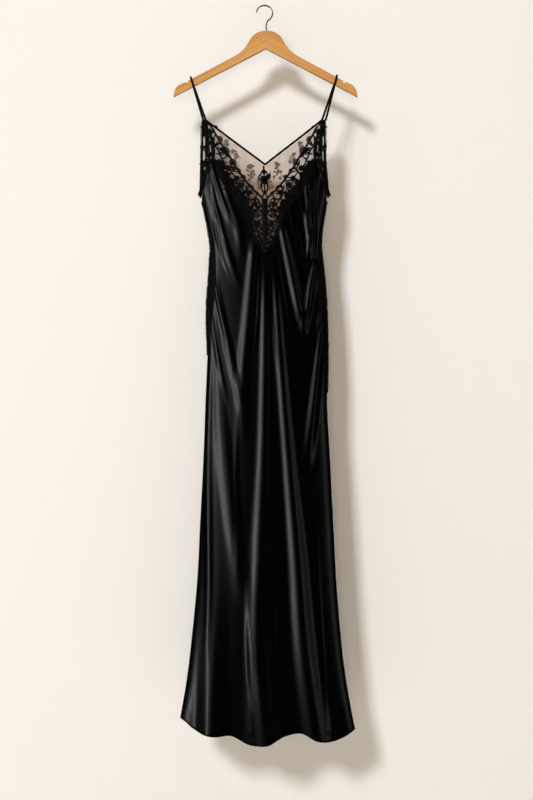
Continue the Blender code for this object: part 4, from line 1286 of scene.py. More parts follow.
def band_ground(name, sections, sign, rows, columns, work):
    """The ground of a band: close beside its threads and where the table says, and open between."""
    u = np.linspace(0, len(sections) - 1, rows)[:, None]
    v = np.linspace(0, 1, columns)[None, :]
    u, v = np.broadcast_arrays(u, v)
    x, z = band_xz(sections, u, v)
    points, normals = front(sign * x, z)
    outer = points - normals * GROUND_DEPTH
    ground = shell(name, outer, points - normals * (GROUND_DEPTH + GROUND_THICK), GROUND)
    flat = np.stack([sign * x, z], axis=-1).reshape(-1, 2)
    if sections is ARMHOLE_LACE:
        windows = [np.hypot((x - mx) / hx, (z - mz) / hz) for mx, mz, hx, hz in ARMHOLE_WINDOWS]
        beyond = (1 + (np.minimum.reduce(windows) - 1) * WINDOW_EDGE).ravel()
    else:
        close = np.interp(u, np.arange(len(sections)), CLOSE_FROM)
        beyond = (v - close + 1).ravel()
    beside = 1 + (CLOTHWORK - nearest(flat, [row[0] for row in work["threads"]])) * CLOTH_EDGE
    knot = np.hypot((x - KNOT[0]) / KNOT_SIZE[0], (z - KNOT[1]) / KNOT_SIZE[1])
    solid = 1 + (1 - knot).ravel()
    uv = np.stack([u.ravel(), np.clip(np.maximum.reduce([beside, beyond, solid]), 0, 2)], axis=-1)
    add_uv(ground, np.concatenate([uv, uv]))
    return ground


print(len(ARMHOLE_WINDOWS), "windows in each armhole band")

# %% Neck lace
BOLDER = 1.15  # cords are a little thicker than their tables say
NECK_UNEVEN = (0.5, 0.08, 8)  # at most, in millimetres, share of the size and degrees
NECK_SEEDS = {"left": 11, "right": 23}
for side, sign in SIDES.items():
    work = new_work()
    jitter = uneven(NECK_SEEDS[side], (len(NECK_MOTIFS + NECK_FANS), 4))
    shift_by, grow_by, turn_by = NECK_UNEVEN
    for motif, (dx, dz, ds, dt) in zip(NECK_FANS + NECK_MOTIFS, jitter):
        x, z = sign * (motif.x + shift_by * dx), motif.z + shift_by * dz
        size, turn = motif.size * (1 + grow_by * ds), motif.turn + turn_by * dt
        lay(work, motif.kind, x, z, size, turn, mirror=sign, thickness=0.95)
    for radius, stations in NECK_CORDS:
        run(work, spread(stations, 40) * (sign, 1), radius * BOLDER, radius * 0.4)
    for depth in (0.965, 1.0):
        line = band_line(NECK_LACE, [(3, depth), (9, depth), (15.9, depth)], sign, 120)
        run(work, line, 0.9, 0.6)
    ground = band_ground(f"neck_ground_{side}", NECK_LACE, sign, 321, 41, work)
    made = finish_lace(front, work, side, "neck", ground, f"neck_lace_{side}")
    strap = f"strap_rouleau_{side}"
    print(ground.name, "area", round(sheet_area(ground), 4), "m2;", len(work["threads"]), "threads")

# %% [markdown]
# ## The armhole lace
# A narrow band of the same lace follows each front armhole and ends in a point under the arm. It
# is little more than four cords, with narrow windows and small flowers between them.

# %% Armhole lace
ARMHOLE_CORDS = [
    (1.8, [(139, -266), (137.5, -284), (137.7, -301), (137.4, -321), (137.6, -342), (138.3, -362),
     (139.4, -382), (141, -402), (144, -418), (148.6, -430.5)]),
    (1.7, [(131.5, -270), (130.7, -289), (130.2, -303), (130.4, -322), (129.6, -342),
     (129.8, -363), (130.7, -383), (132.8, -403), (138, -418), (147, -430)]),
    (1.2, [(129, -276), (127.2, -294), (124.4, -308), (125.2, -322), (122.5, -333), (124.7, -347),
     (122.4, -361), (124.6, -377), (129, -392)]),
    (1.7, [(118.6, -322), (116, -345), (119.5, -358), (124, -369), (129.4, -393), (135, -414),
     (141, -429)]),
    (1.3, [(137.4, -293), (130.4, -293.5)]),
    (1.5, [(137.4, -331), (130, -331)]),
    (1.5, [(138.4, -368), (130, -366)]),
    (1.4, [(139.8, -388), (131, -390)]),
    (1.2, [(129.6, -342), (125, -347)]),
    (1.2, [(130, -308), (124.6, -309)]),
    (1.1, [(124.6, -315), (119.4, -318)]),
    (1.1, [(123, -341), (116.6, -343)]),
    (1.1, [(123, -363), (122, -366)]),
    (2.4, [(133, -268), (132.4, -284)]),
    (2.0, [(136, -275), (128, -279), (131, -287)]),
]  # fmt: skip
ARMHOLE_UNEVEN = (0.8, 0.1, 15)
ARMHOLE_SEEDS = {"left": 31, "right": 43}
ARMHOLE_MOTIFS = [Motif(*row) for row in (
    ("rose", 132.8, -276, 4.2, 20), ("bud", 127.6, -285, 3.0, 0), ("petal", 139.4, -323, 3.6, 40),
    ("petal", 139.4, -277, 3.4, 10), ("bud", 126.6, -301, 2.6, 40), ("petal", 126.4, -316, 3.4, 70),
    ("rose", 126.2, -327, 3.2, 0), ("bud", 126.6, -341, 2.6, 60), ("petal", 126.0, -354, 3.2, 30),
    ("petal", 140.4, -361, 2.6, 0), ("bud", 127.0, -371, 2.6, 0), ("leaf", 133.4, -397, 6.0, 285),
    ("ring", 136.2, -408, 2.4, 0), ("bud", 140.5, -421, 2.4, 0),
)]  # fmt: skip
for side, sign in SIDES.items():
    work = new_work()
    jitter = uneven(ARMHOLE_SEEDS[side], (len(ARMHOLE_MOTIFS), 3))
    shift_by, grow_by, turn_by = ARMHOLE_UNEVEN
    for motif, (dz, ds, dt) in zip(ARMHOLE_MOTIFS, jitter):
        z, size = motif.z + shift_by * dz, motif.size * (1 + grow_by * ds)
        lay(work, motif.kind, sign * motif.x, z, size, motif.turn + turn_by * dt, mirror=sign)
    for radius, stations in ARMHOLE_CORDS:
        run(work, spread(stations, 30) * (sign, 1), radius * BOLDER, radius * 0.4)
    run(work, band_line(ARMHOLE_LACE, [(2.6, 1), (5, 1), (6.95, 1)], sign, 60), 1.2, 0.5)
    ground = band_ground(f"armhole_ground_{side}", ARMHOLE_LACE, sign, 181, 27, work)
    made = finish_lace(front, work, side, "armhole", ground, f"armhole_lace_{side}")
    strap = f"strap_rouleau_{side}"
    print(ground.name, "area", round(sheet_area(ground), 5), "m2;", len(work["threads"]), "threads")

# %% [markdown]
# ## The side lace
# A long leaf-shaped inset is let into each side seam from the underarm to the hip. It wraps round
# the edge, so from the front only half of it shows. Two cords border it, and a chain of roses and
# leaves runs down its middle, on a ground that is close but for a small opening by the edge.


# %% Form of the insets
def side_surface(side):
    """Maps (share round the inset, z) to points and normals."""
    sign = SIDES[side]

    def surface(c, z):
        c, z = np.broadcast_arrays(np.asarray(c, float), np.asarray(z, float))
        t = sign * (1 - side_share(z, side) * np.abs(1 - 2 * c))
        on_front = np.stack([dress_surface(t, z, "front"), dress_normal(t, z, "front")])
        on_back = np.stack([dress_surface(t, z, "back"), dress_normal(t, z, "back")])
        point, normal = np.where((c < 0.5)[..., None], on_front, on_back)
        edge = np.clip(1 - np.abs(1 - 2 * c) * 4, 0, 1)[..., None]
        outward = normal * (1 - edge) + np.array([sign, 0.0, 0.0]) * edge
        outward /= np.linalg.norm(outward, axis=-1, keepdims=True)
        return point, outward

    return surface


def girth_at(surface, z):
    line, _ = surface(np.linspace(0, 1, 25), np.full(25, z))
    return float(np.linalg.norm(np.diff(line, axis=0), axis=1).sum())


for side in SIDES:
    girth = girth_at(side_surface(side), -600.0)
    print(side, "inset is", round(girth), "mm round at 600 mm below the hook")

# %% Side lace
SIDE_CORDS = [  # thickness, and shares round the inset from its top to its end
    (1.2, (0.02, 0.03, 0.02, 0.03, 0.02)),
    (1.2, (0.98, 0.97, 0.98, 0.97, 0.98)),
    (0.9, (0.22, 0.30, 0.24, 0.30, 0.24)),
    (0.9, (0.78, 0.70, 0.76, 0.70, 0.76)),
]
INSET_TOP, INSET_END = 6, 22  # how far the ground stays from the two points of the inset
STEP_DOWN = 26.0  # between one rose of the chain and the next
ROSE_MOST, ROSE_SHARE, ROSE_UNEVEN = 7.0, 0.15, 0.12  # its size, as a share of the girth
SIDE_SEEDS = {"left": 51, "right": 67}
# Beside the edge the close lace has a small opening: its height, its size and how open it is.
THIN_AT, THIN_SIZE, THIN_BY = {"left": 728.0, "right": 672.0}, (22, 0.07), 0.92
for side, sign in SIDES.items():
    surface = side_surface(side)
    top, end = UNDERARM_Z - INSET_TOP, SIDE_LACE_END[side] + INSET_END
    z, c = np.meshgrid(np.linspace(top, end, 90), np.linspace(0, 1, 17), indexing="ij")
    outer, normals = surface(c, z)
    ground = shell(f"side_ground_{side}", outer, outer - normals * GROUND_THICK, GROUND)
    thin = np.exp(-(((z + THIN_AT[side]) / THIN_SIZE[0]) ** 2) - ((c - 0.5) / THIN_SIZE[1]) ** 2)
    uv = np.stack([z / 30, 2 - THIN_BY * thin], axis=-1).reshape(-1, 2)
    add_uv(ground, np.concatenate([uv, uv]))
    work = new_work()
    heights = np.linspace(top, end, 60)
    for thickness, stations in SIDE_CORDS:
        line = np.stack([along(stations, np.linspace(0, 1, 60)), heights], axis=1)
        run(work, line, thickness, 0.6)
    count = int((top - end) / STEP_DOWN)
    jitter = uneven(SIDE_SEEDS[side], (count, 3))
    for n, (shift, grow, spin) in enumerate(jitter):
        height = top - (n + 0.6) * STEP_DOWN + 2 * shift
        girth = girth_at(surface, height)
        chain = new_work()
        size = min(ROSE_MOST, girth * ROSE_SHARE) * (1 + ROSE_UNEVEN * grow)
        lay(chain, "rose", 0.0, height, size, 40 * spin)
        for way in (-1, 1):
            lay(chain, "leaf", way * size, height - 9, size * 1.3, 90 + way * 130, lift=0.3)
            bar = [(way * size * 0.8, height), (way * girth * 0.24, height - 3)]
            tip = [(way * girth * 0.34, height - 1), (way * girth * 0.47, height - 4)]
            run(chain, spread(bar + tip, 8), 0.6, 0.4)
        # Across the inset the chain is laid out in millimetres, and the surface takes shares.
        for layer, made_there in chain.items():
            for line, *rest in made_there:
                line = np.stack([0.5 + line[:, 0] / girth, line[:, 1]], axis=1)
                work[layer].append((line, *rest))
    made = finish_lace(surface, work, side, "side", ground, f"side_lace_{side}")
    print(ground.name, "area", round(sheet_area(ground), 4), "m2")

# %% [markdown]
# ## The sheer back
# Behind the V is a skin-coloured net with small sprays of flowers embroidered on it. A black
# rolled edge runs along its neckline, and from the low point of that edge hangs a strip of corded
# lace: a spindle, a clover, two slits and a keyhole.

# %% Sheer net
NET_THICK = 0.35
BACK_NECK = ((134.5, -258.5), (0, -358))  # its end at the strap and its low point
BACK_AXIS = -0.8  # x of the back neckline's low point, and of the strip that hangs from it


def back_neck(q):
    (x_end, z_end), (_, z_low) = BACK_NECK
    low_x = BACK_AXIS - centre_and_half(z_low)[0]
    return q * x_end + low_x * (1 - np.abs(q)), mix(z_low, z_end, np.abs(q))


def net_line(q, s):
    """x and z on the net at column q, from -1 to 1, and s from the neckline to the satin."""
    x_top, z_top = back_neck(q)
    z_low = back_edge_z(q)
    x_low = centre_and_half(z_low)[1] * np.sin(q * UNDERARM_T * pi / 2)
    z = mix(z_top, z_low, s)
    t = mix(t_of(x_top, z_top), t_of(x_low, z_low), s)
    return centre_and_half(z)[1] * np.sin(t * pi / 2), z


q, s = np.meshgrid(np.linspace(-1, 1, 97), np.linspace(0, 1, 49))
x, z = net_line(q, s)
back_net = shell("back_net", place(x, z, "back"), place(x, z, "back", -NET_THICK), NUDE_NET)
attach(back_net, BODY)
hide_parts("back_mesh")
print("net area", round(sheet_area(back_net), 4), "m2")

# %% Flower sprays
Spray = namedtuple("Spray", "x z height lean")
SPRAYS = [Spray(*row) for row in (
    (-62, -343, 20, -20), (-36, -395, 36, 8), (-26, -386, 30, -12), (24, -388, 34, 10),
    (36, -392, 40, -6), (60, -352, 22, 25), (-88, -318, 16, 15), (86, -322, 16, -12),
    (-12, -410, 20, 5), (14, -412, 20, -8), (-60, -420, 34, -5), (62, -425, 34, 8),
    (-95, -380, 30, 5), (98, -385, 30, -5), (-30, -480, 34, 5), (34, -486, 34, -8),
    (0, -520, 32, 4), (-84, -470, 34, -8), (88, -474, 34, 10),
)]  # fmt: skip
SPRAY_SEED = 100
sprays = new_work()
for n, spray in enumerate(SPRAYS):
    turns = uneven(SPRAY_SEED + n, 8)
    lean = radians(spray.lean)
    s = np.linspace(0, 1, 12)
    stem_x = spray.x + spray.height * (np.sin(lean) * s + 0.12 * np.sin(3 * s + turns[0]))
    stem_z = spray.z + spray.height * np.cos(lean) * s
    stem = np.stack([stem_x, stem_z], axis=1)
    run(sprays, stem, 0.55, 0.6)
    for k in range(6):
        at = stem[2 + int(k * 1.6)]
        way = 1 if k % 2 else -1
        turn = 90 + spray.lean - way * (55 + 18 * turns[k])
        kind = "leaf" if k % 3 else "rose"
        size = (6.0 if kind == "leaf" else 3.4) * (1 + 0.2 * turns[k + 1])
        shift = way * 2.5
        lay(sprays, kind, at[0] + shift, at[1], size, turn, lift=0.6, thickness=0.4)
    lay(sprays, "rose", stem[-1][0], stem[-1][1], 4.2, 30 * turns[0], lift=0.6, thickness=0.45)
INSIDE = 0.5  # the net's thickness and a little more, so that the sprays lie on its inner face
spray_surface = moved_in(INSIDE)
spray_threads = gathered("spray_threads", [thread_parts(spray_surface, sprays["threads"])], SPRAY)
spray_petals = gathered("spray_petals", [petal_parts(spray_surface, sprays["petals"])], SPRAY_PETAL)
for piece in (spray_threads, spray_petals):
    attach(piece, BODY)
print(len(SPRAYS), "sprays")


# %% Strip below the V
STRIP_CORDS = [
    (2.0, [(0, -357), (-0.3, -363), (0, -369)]),
    (1.5, [(0, -366), (-5.5, -371), (-8, -377), (-13, -381), (-11.5, -388), (-5.5, -388),
     (-2, -382)]),
    (1.5, [(0, -366), (5.5, -371), (8, -377), (14, -377), (11.5, -386), (5.5, -388), (2, -382)]),
    (1.2, [(10, -378), (15, -372)]),
    (1.8, [(0, -370), (0.2, -380), (0, -392), (0, -404), (0, -417)]),
    (1.8, [(-3, -384), (-6, -394), (-7.2, -404), (-5.5, -413), (-1.2, -419)]),
    (1.8, [(3, -384), (6, -394), (7.2, -404), (5.5, -413), (1.2, -419)]),
    (1.6, [(0, -417), (-4.2, -424), (-6, -431), (-4.6, -438), (0, -443)]),
    (1.6, [(0, -417), (4.2, -424), (6, -431), (4.6, -438), (0, -443)]),
    (1.5, [(-4.5, -388), (0, -396), (4.5, -388)]),
]  # fmt: skip
strip = new_work()
for thickness, line in STRIP_CORDS:
    run(strip, spread(line, 40) + (BACK_AXIS - NECK_AXIS, 0), thickness, 0.4)
for kind, x, z, size, turn in (
    ("ring", -9.6, -381.5, 3.4, 0), ("rose", 9.2, -381, 4.6, 30), ("rose", 0, -372, 3.6, 10),
    ("rose", -0.5, -386, 6.2, 50), ("bud", -3.6, -396, 2.6, 0), ("bud", 3.8, -397, 2.6, 40),
    ("petal", 0, -391, 4.5, 0), ("petal", 0, -418, 3.4, 30), ("leaf", 0, -443, 5, 270),
):  # fmt: skip
    lay(strip, kind, x + BACK_AXIS - NECK_AXIS, z, size, turn, lift=0.2, thickness=1.0)
STRIP_DEPTH = 2.0  # the strip lies inside, clear of the net
strip_surface = moved_in(STRIP_DEPTH)
strip_threads = gathered("strip_threads", [thread_parts(strip_surface, strip["threads"])], THREAD)
strip_petals = gathered("strip_petals", [petal_parts(strip_surface, strip["petals"])], SHEER)
for piece in (strip_threads, strip_petals):
    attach(piece, BODY)
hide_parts("back_lace_strip")
print("strip threads:", len(strip["threads"]))

# %% [markdown]
# ## Small repeated details
# Four small things repeat along lines: machine stitches round the hem, picots along the free
# edges of the lace, leaves that edge the lace where it lies over the satin, and small rosettes on
# the lace itself. A Geometry Nodes tree sets one small shape at even steps along each line, turned
# to the line and the cloth, a little unevenly, so all of them change when the line does.


# %% Tree that repeats a shape
def repeating_tree():
    tree = bpy.data.node_groups.new("repeated_along_line", "GeometryNodeTree")
    for name, kind in (
        ("Line", "NodeSocketGeometry"), ("Shape", "NodeSocketObject"), ("Step", "NodeSocketFloat"),
        ("Uneven", "NodeSocketFloat"), ("Lean", "NodeSocketFloat"), ("Seed", "NodeSocketInt"),
        ("Finish", "NodeSocketMaterial"),
    ):  # fmt: skip
        tree.interface.new_socket(name, in_out="INPUT", socket_type=kind)
    tree.interface.new_socket("Made", in_out="OUTPUT", socket_type="NodeSocketGeometry")
    given = tree.nodes.new("NodeGroupInput")
    result = tree.nodes.new("NodeGroupOutput")
    curve = node(tree, "GeometryNodeMeshToCurve")
    even = node(tree, "GeometryNodeResampleCurve", mode="LENGTH")
    shape = node(tree, "GeometryNodeObjectInfo")
    tangent = node(tree, "GeometryNodeInputTangent")
    along_line = node(tree, "FunctionNodeAlignRotationToVector", axis="X")
    outward = node(tree, "FunctionNodeAlignRotationToVector", axis="Z", pivot_axis="X")
    facing = node(tree, "GeometryNodeInputNamedAttribute", data_type="FLOAT_VECTOR")
    facing.inputs["Name"].default_value = "facing"
    turn, opposite = (node(tree, "ShaderNodeCombineXYZ") for _ in range(2))
    lean = node(tree, "FunctionNodeRandomValue", data_type="FLOAT_VECTOR")
    lean_by = node(tree, "FunctionNodeRotateRotation", rotation_space="LOCAL")
    size = node(tree, "FunctionNodeRandomValue", data_type="FLOAT")
    size_low, size_high = [socket for socket in size.inputs if socket.type == "VALUE"][:2]
    size_value = [socket for socket in size.outputs if socket.type == "VALUE"][0]
    placed = node(tree, "GeometryNodeInstanceOnPoints")
    real = node(tree, "GeometryNodeRealizeInstances")
    finish = node(tree, "GeometryNodeSetMaterial")
    wanted = given.outputs
    for source, target in (
        # the line, cut into even steps
        (wanted["Line"], curve.inputs["Mesh"]),
        (curve.outputs["Curve"], even.inputs["Curve"]),
        (wanted["Step"], even.inputs["Length"]),
        # each shape's turn: along the line, away from the cloth, and leaning a little
        (tangent.outputs[0], along_line.inputs["Vector"]),
        (along_line.outputs[0], outward.inputs["Rotation"]),
        (facing.outputs["Attribute"], outward.inputs["Vector"]),
        (wanted["Lean"], turn.inputs["Z"]),
        (math(tree, "MULTIPLY", wanted["Lean"], -1), opposite.inputs["Z"]),
        (opposite.outputs[0], lean.inputs["Min"]),
        (turn.outputs[0], lean.inputs["Max"]),
        (wanted["Seed"], lean.inputs["Seed"]),
        (outward.outputs[0], lean_by.inputs["Rotation"]),
        (lean.outputs["Value"], lean_by.inputs["Rotate By"]),
        # its size
        (math(tree, "SUBTRACT", 1.0, wanted["Uneven"]), size_low),
        (math(tree, "ADD", 1.0, wanted["Uneven"]), size_high),
        (wanted["Seed"], size.inputs["Seed"]),
        # the shapes, as real faces with their finish
        (wanted["Shape"], shape.inputs["Object"]),
        (even.outputs["Curve"], placed.inputs["Points"]),
        (shape.outputs["Geometry"], placed.inputs["Instance"]),
        (lean_by.outputs[0], placed.inputs["Rotation"]),
        (size_value, placed.inputs["Scale"]),
        (placed.outputs["Instances"], real.inputs["Geometry"]),
        (real.outputs["Geometry"], finish.inputs["Geometry"]),
        (wanted["Finish"], finish.inputs["Material"]),
        (finish.outputs["Geometry"], result.inputs["Made"]),
    ):
        tree.links.new(source, target)
    return tree


REPEAT = repeating_tree()
SOCKETS = [item for item in REPEAT.interface.items_tree if item.in_out == "INPUT"]
print("tree inputs:", ", ".join(item.name for item in SOCKETS))


# %% Small shapes
# In each, x runs along the line, y across it and z away from the cloth.
def domed_leaf(length, width, thick):
    """A closed leaf that grows from the line towards +y."""
    outline = leaf_outline(7)[:-1] * (width, 1.0)
    flat = np.stack([outline[:, 1] * width, outline[:, 0] * length], axis=1)
    count = len(flat)
    low = np.column_stack([flat, np.zeros(count)])
    rim = np.column_stack([flat, np.full(count, thick * 0.6)])
    middle = flat.mean(axis=0)
    points = np.concatenate([low, rim, [(*middle, 0.0)], [(*middle, thick * 1.6)]])
    faces = []
    for n in range(count):
        m = (n + 1) % count
        faces += [(n, m, count + m, count + n), (m, n, 2 * count)]
        faces.append((count + n, count + m, 2 * count + 1))
    return points, faces


half_turn = np.radians(np.linspace(0, 180, 7))
picot_path = np.stack([2.0 * np.cos(half_turn), 1.8 * np.sin(half_turn), np.full(7, 0.3)], axis=1)
stitch_path = [(-1.2, 0, 0.0), (-0.9, 0, 0.28), (0, 0, 0.36), (0.9, 0, 0.28), (1.2, 0, 0.0)]
rosette_path = [(*row, 0.35) for row in spiral(0.35, 2.4, 1.6, 13)]
SMALL = {
    name: gathered(name, [parts], THREAD)
    for name, parts in (
        ("stitch", tube_parts(stitch_path, 0.24, 5)),
        ("picot", tube_parts(picot_path, 0.62, 5)),
        ("edge_leaf", domed_leaf(6.5, 1.9, 0.6)),
        ("rosette", tube_parts(rosette_path, 0.55, 5)),
    )
}
print("shapes:", ", ".join(f"{key} {len(obj.data.polygons)} faces" for key, obj in SMALL.items()))


# %% Maker of what repeats
def repeat(name, lines, shape, step, uneven_by, lean, seed, finish):
    """Sets a shape along lines, each a pair of points and outward directions in millimetres."""
    mesh = bpy.data.meshes.new(name + "_line")
    points, edges, facing = [], [], []
    for line, normals in lines:
        start = len(points)
        points += [tuple(row * MM) for row in line]
        facing += [tuple(row) for row in normals]
        edges += [(start + n, start + n + 1) for n in range(len(line) - 1)]
    mesh.from_pydata(points, edges, [])
    layer = mesh.attributes.new("facing", "FLOAT_VECTOR", "POINT")
    layer.data.foreach_set("vector", np.asarray(facing, float).ravel())
    holder = bpy.data.objects.new(name + "_line", mesh)
    bpy.context.scene.collection.objects.link(holder)
    modifier = holder.modifiers.new("repeated", "NODES")
    modifier.node_group = REPEAT
    values = {
        "Shape": SMALL[shape], "Step": step * MM, "Uneven": uneven_by, "Lean": lean,
        "Seed": seed, "Finish": finish,
    }  # fmt: skip
    for item in SOCKETS:
        if item.name in values:
            modifier[item.identifier] = values[item.name]
    bpy.context.view_layer.update()
    graph = bpy.context.evaluated_depsgraph_get()
    made = bpy.data.meshes.new_from_object(holder.evaluated_get(graph))
    holder.modifiers.remove(modifier)
    bpy.data.objects.remove(holder)
    piece = bpy.data.objects.new(name, made)
    bpy.context.scene.collection.objects.link(piece)
    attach(piece, BODY)
    print(name, len(made.polygons), "faces")


print("small shapes to choose from:", len(SMALL))

# %% Hem stitches
STITCH_ROW = 22.0  # height of the stitches above the hem
t = np.linspace(-0.97, 0.97, 160)
hem_rows = []
for facing in ("front", "back"):
    z = along(HEM[facing], (t + 1) / 2) + STITCH_ROW
    normals = dress_normal(t, z, facing)
    hem_rows.append((dress_surface(t, z, facing) + normals * 0.1, normals))
repeat("hem_stitches", hem_rows, "stitch", 3.6, uneven_by=0.06, lean=0.03, seed=5, finish=STITCH)

# %% Picots, edge leaves and rosettes
ROSETTE_SHARES = (0.66, 0.82, 0.94)  # where their rows lie in the width of the neck lace
picot_rows, leaf_rows, rosette_rows = [], [], []
for side, sign in SIDES.items():
    u = np.linspace(0.6, len(ARMHOLE_LACE) - 1, 90)
    x, z = band_xz(ARMHOLE_LACE, u, 0.0)
    points, normals = front(sign * x, z)
    picot_rows.append((points[::sign], normals[::sign]))
    surface = side_surface(side)
    z = np.linspace(UNDERARM_Z - 10, SIDE_LACE_END[side] + 26, 120)
    points, normals = surface(0.5, z)
    picot_rows.append((points[::sign], np.broadcast_to([0.0, -1.0, 0.0], normals.shape)))
    u = np.linspace(3.2, len(NECK_LACE) - 1.15, 120)
    x, z = band_xz(NECK_LACE, u, 0.985)
    points, normals = front(sign * x, z)
    leaf_rows.append((points[::sign], normals[::sign]))
    for share in ROSETTE_SHARES:
        u = np.linspace(4.2, 14.5, 100)
        x, z = band_xz(NECK_LACE, u, share + 0.03 * np.sin(u * 7))
        rosette_rows.append(front(sign * x, z))
for name, rows, shape, step, uneven_by, lean, seed in (
    ("picots", picot_rows, "picot", 5.4, 0.2, 0.15, 8),
    ("edge_leaves", leaf_rows, "edge_leaf", 3.6, 0.35, 0.8, 13),
    ("rosettes", rosette_rows, "rosette", 6.2, 0.3, 3.1, 21),
):
    repeat(name, rows, shape, step, uneven_by, lean, seed, THREAD)
for obj in SMALL.values():
    bpy.data.objects.remove(obj)

# %% Rolled hem
ROLL_RADIUS, ROLL_UP = 0.8, (0, 0, 0.4)
hems = []
for facing in ("front", "back"):
    t = np.linspace(-0.999, 0.999, 220)
    z = along(HEM[facing], (t + 1) / 2)
    path = dress_surface(t, z, facing) - dress_normal(t, z, facing) * CLOTH / 2
    hems.append(tube_parts(path + ROLL_UP, ROLL_RADIUS, 6))
hem_roll = gathered("hem_roll", hems, SATIN)
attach(hem_roll, BODY)
print("hem roll", len(hem_roll.data.polygons), "faces")

# %% [markdown]
# ## Bindings and straps
# A rouleau is a bias strip of satin sewn into a tube and turned right side out. Three bind the
# net's neckline and armholes; two more are the straps, each of which loops over an arm of the
# hanger, so two strands show.

# %% Bindings
BINDING_RADIUS = 2.5
IN_NET = -0.5  # the binding's middle lies in the net's thickness
off = BINDING_RADIUS + SEAM
slope = hypot(BACK_NECK[0][0], BACK_NECK[0][1] - BACK_NECK[1][1]) / BACK_NECK[0][0]
q = np.linspace(-0.985, 0.985, 121)
x, z = net_line(q, np.zeros(len(q)))
path = place(x, z, "back", IN_NET) + np.array([0, 0, off * slope * 1.05])


def swollen(count, radius, every):
    """A rouleau's radius, a little fuller between the stitches that hold it."""
    return radius * (1 + 0.035 * np.sin(np.arange(count) * 2 * pi / every))


bindings = [("neckline_rouleau", path, "back_binding")]
for side, sign in SIDES.items():
    s = np.linspace(0.02, 0.975, 60)
    x, z = net_line(np.full(60, float(sign)), s)
    path = place(x, z, "back", IN_NET) + np.array([sign * off * 1.15, 0.6, 0])
    bindings.append((f"armhole_rouleau_{side}", path, f"armhole_binding_{side}"))
for name, path, cad_node in bindings:
    radius = swollen(len(path), BINDING_RADIUS, 7.3)
    piece = gathered(name, [tube_parts(path, radius, 10)], ROULEAU)
    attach(piece, BODY)
    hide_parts(cad_node)
print("bindings:", ", ".join(row[0] for row in bindings))

# %% Straps
ARM_TOP = [
    (0, -56.5), (10, -57.4), (21, -61.0), (30, -67.2), (36, -74.5), (42, -85.5), (49, -96.4),
    (60, -106.6), (75, -116.0), (120, -140.0), (172, -168.0),
]  # fmt: skip
HANGER_HALF_THICK = 6.0
STRAP_RADIUS = 2.5
STRAP_END_Z, STRAP_END_Y = -262.0, 12.5
ARM_EDGE_RADIUS = 1.8
Strap = namedtuple("Strap", "side over_x front_x back_x")
STRAPS = [Strap("left", -169.3, -140.5, -134.0), Strap("right", 162.1, 136.0, 127.0)]


def strap_half(strap, end_x, sign):
    """Points of a strap from the top of the arm to one end."""
    (x0, z0), (x1, z1) = ARM_TOP[-2:]
    top = mix(z0, z1, (abs(strap.over_x) - x0) / (x1 - x0))
    round_it = ARM_EDGE_RADIUS + STRAP_RADIUS + SEAM * 2.2
    centre_y, centre_z = HANGER_HALF_THICK - ARM_EDGE_RADIUS, top - ARM_EDGE_RADIUS + 0.6
    turns = np.radians([90, 75, 60, 45, 30, 15, 0])
    path = [(centre_y + round_it * cos(a), centre_z + round_it * sin(a)) for a in turns]
    clear = path[-1][0]
    path += [(clear, top - 12), (clear, top - 24), (clear + 0.6, top - 45)]
    path += [(mix(clear + 0.6, STRAP_END_Y, 0.5), mix(top - 45, STRAP_END_Z, 0.5))]
    path += [(STRAP_END_Y, STRAP_END_Z)]
    drop = path[0][1] - STRAP_END_Z
    return [(mix(strap.over_x, end_x, (path[0][1] - z) / drop), sign * y, z) for y, z in path]


for strap in STRAPS:
    front_half = strap_half(strap, strap.front_x, -1)
    back_half = strap_half(strap, strap.back_x, 1)
    path = np.array(front_half[::-1] + back_half[1:])
    path = spread(path, 220)
    radius = swollen(len(path), STRAP_RADIUS, 9.1)
    piece = gathered(f"strap_rouleau_{strap.side}", [tube_parts(path, radius, 12)], ROULEAU)
    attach(piece, BODY)
    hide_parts(f"strap_{strap.side}")
    length = np.linalg.norm(np.diff(path, axis=0), axis=1).sum()
    print(piece.name, round(length), "mm round")

# %% [markdown]
# ## The hanger
# One piece of varnished wood with a crown, two arms and a notch near each end, sawn from board and
# rounded along its edges. Its outline is inset ring by ring round a quarter circle, which gives
# the soft edge that catches the light. The hook is drawn wire bent round and set in the crown.

# %% Hanger outline
NOTCH = [(175.2, -169.8), (175.8, -173.6), (178.2, -175.4), (180.6, -174.6), (181.6, -172.9)]
ARM_END = [
    (190, -176.2), (197.5, -180.0), (203, -185.6), (206, -192.2), (208.2, -200.0), (208.4, -206.6),
]  # fmt: skip
INSIDE_V_Z = -97.4
CROWN_SHIFT = 2.2
EDGE_RADIUS = 2.4


def hanger_outline():
    half = ARM_TOP + NOTCH + ARM_END
    right = [(x + CROWN_SHIFT * (1 - x / ARM_END[-1][0]), z) for x, z in half]
    left = [(CROWN_SHIFT * (1 - x / ARM_END[-1][0]) - x, z) for x, z in half[1:]]
    return right + [(CROWN_SHIFT / 2, INSIDE_V_Z)] + left[::-1]


def inset(outline, distance):
    """The closed outline moved inwards, which is to the right of its direction."""
    before = outline - np.roll(outline, 1, axis=0)
    after = np.roll(outline, -1, axis=0) - outline
    before /= np.linalg.norm(before, axis=1, keepdims=True)
    after /= np.linalg.norm(after, axis=1, keepdims=True)
    mitre = np.stack([before[:, 1] + after[:, 1], -before[:, 0] - after[:, 0]], axis=1)
    length = np.linalg.norm(mitre, axis=1, keepdims=True)
    return outline + mitre / length * distance / np.maximum(length / 2, 0.5)


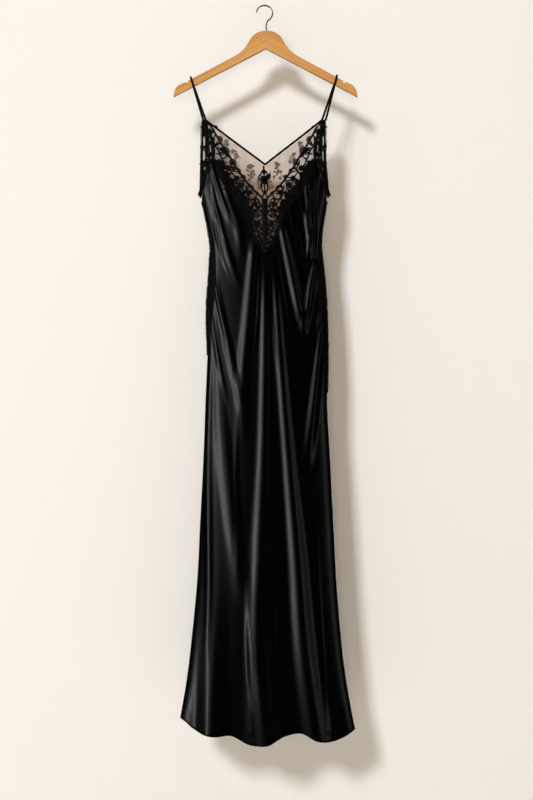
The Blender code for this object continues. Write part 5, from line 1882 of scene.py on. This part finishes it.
outline = np.array(hanger_outline())
print("the outline has", len(outline), "corners")

# %% Hanger
rings = []
for a in np.radians([0, 22.5, 45, 67.5, 90]):
    rings.append((HANGER_HALF_THICK - EDGE_RADIUS * (1 - sin(a)), EDGE_RADIUS * (1 - cos(a))))
rings = [(-y, d) for y, d in rings[::-1]] + rings
count = len(outline)
points, faces = [], []
for y, distance in rings:
    ring = inset(outline, distance)
    points.append(np.stack([ring[:, 0], np.full(count, y), ring[:, 1]], axis=1))
for i in range(len(rings) - 1):
    for n in range(count):
        m = (n + 1) % count
        faces.append((i * count + n, i * count + m, (i + 1) * count + m, (i + 1) * count + n))
faces.append(tuple(range(count)))
faces.append(tuple((len(rings) - 1) * count + n for n in range(count)))
hanger = add_mesh("hanger_wood", np.concatenate(points), faces, WOOD)
flat_faces = [abs(face.normal.y) > 0.99 for face in hanger.data.polygons]
hanger.data.polygons.foreach_set("use_smooth", [not flat for flat in flat_faces])
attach(hanger, BODY)
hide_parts("hanger_body")
print("hanger", round(outline[:, 0].max() - outline[:, 0].min(), 1), "mm wide")

# %% Hook
HOOK_RADIUS, WIRE_RADIUS = 18.1, 1.6
HOOK_CENTRE = (-2.3, -16.5)
STEM_X, STEM_END_Z = 1.9, -78.5
turns = np.radians(np.linspace(176, -62, 60))
bend_x, bend_z = HOOK_RADIUS * np.cos(turns), HOOK_RADIUS * np.sin(turns)
bend = np.stack([HOOK_CENTRE[0] + bend_x, 0 * turns, HOOK_CENTRE[1] + bend_z], axis=1)
neck = spread([bend[-1], (2.9, 0, -38.5), (STEM_X, 0, -46), (STEM_X, 0, STEM_END_Z)], 40)[1:]
wire = np.concatenate([bend, neck])
thickness = np.full(len(wire), WIRE_RADIUS)
thickness[:3] *= (0.45, 0.8, 0.97)  # rounded end
hook = gathered("hanger_wire", [tube_parts(wire, thickness, 16)], STEEL)
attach(hook, BODY)
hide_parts("hanger_hook")
print("wire", round(np.linalg.norm(np.diff(wire, axis=0), axis=1).sum()), "mm long")
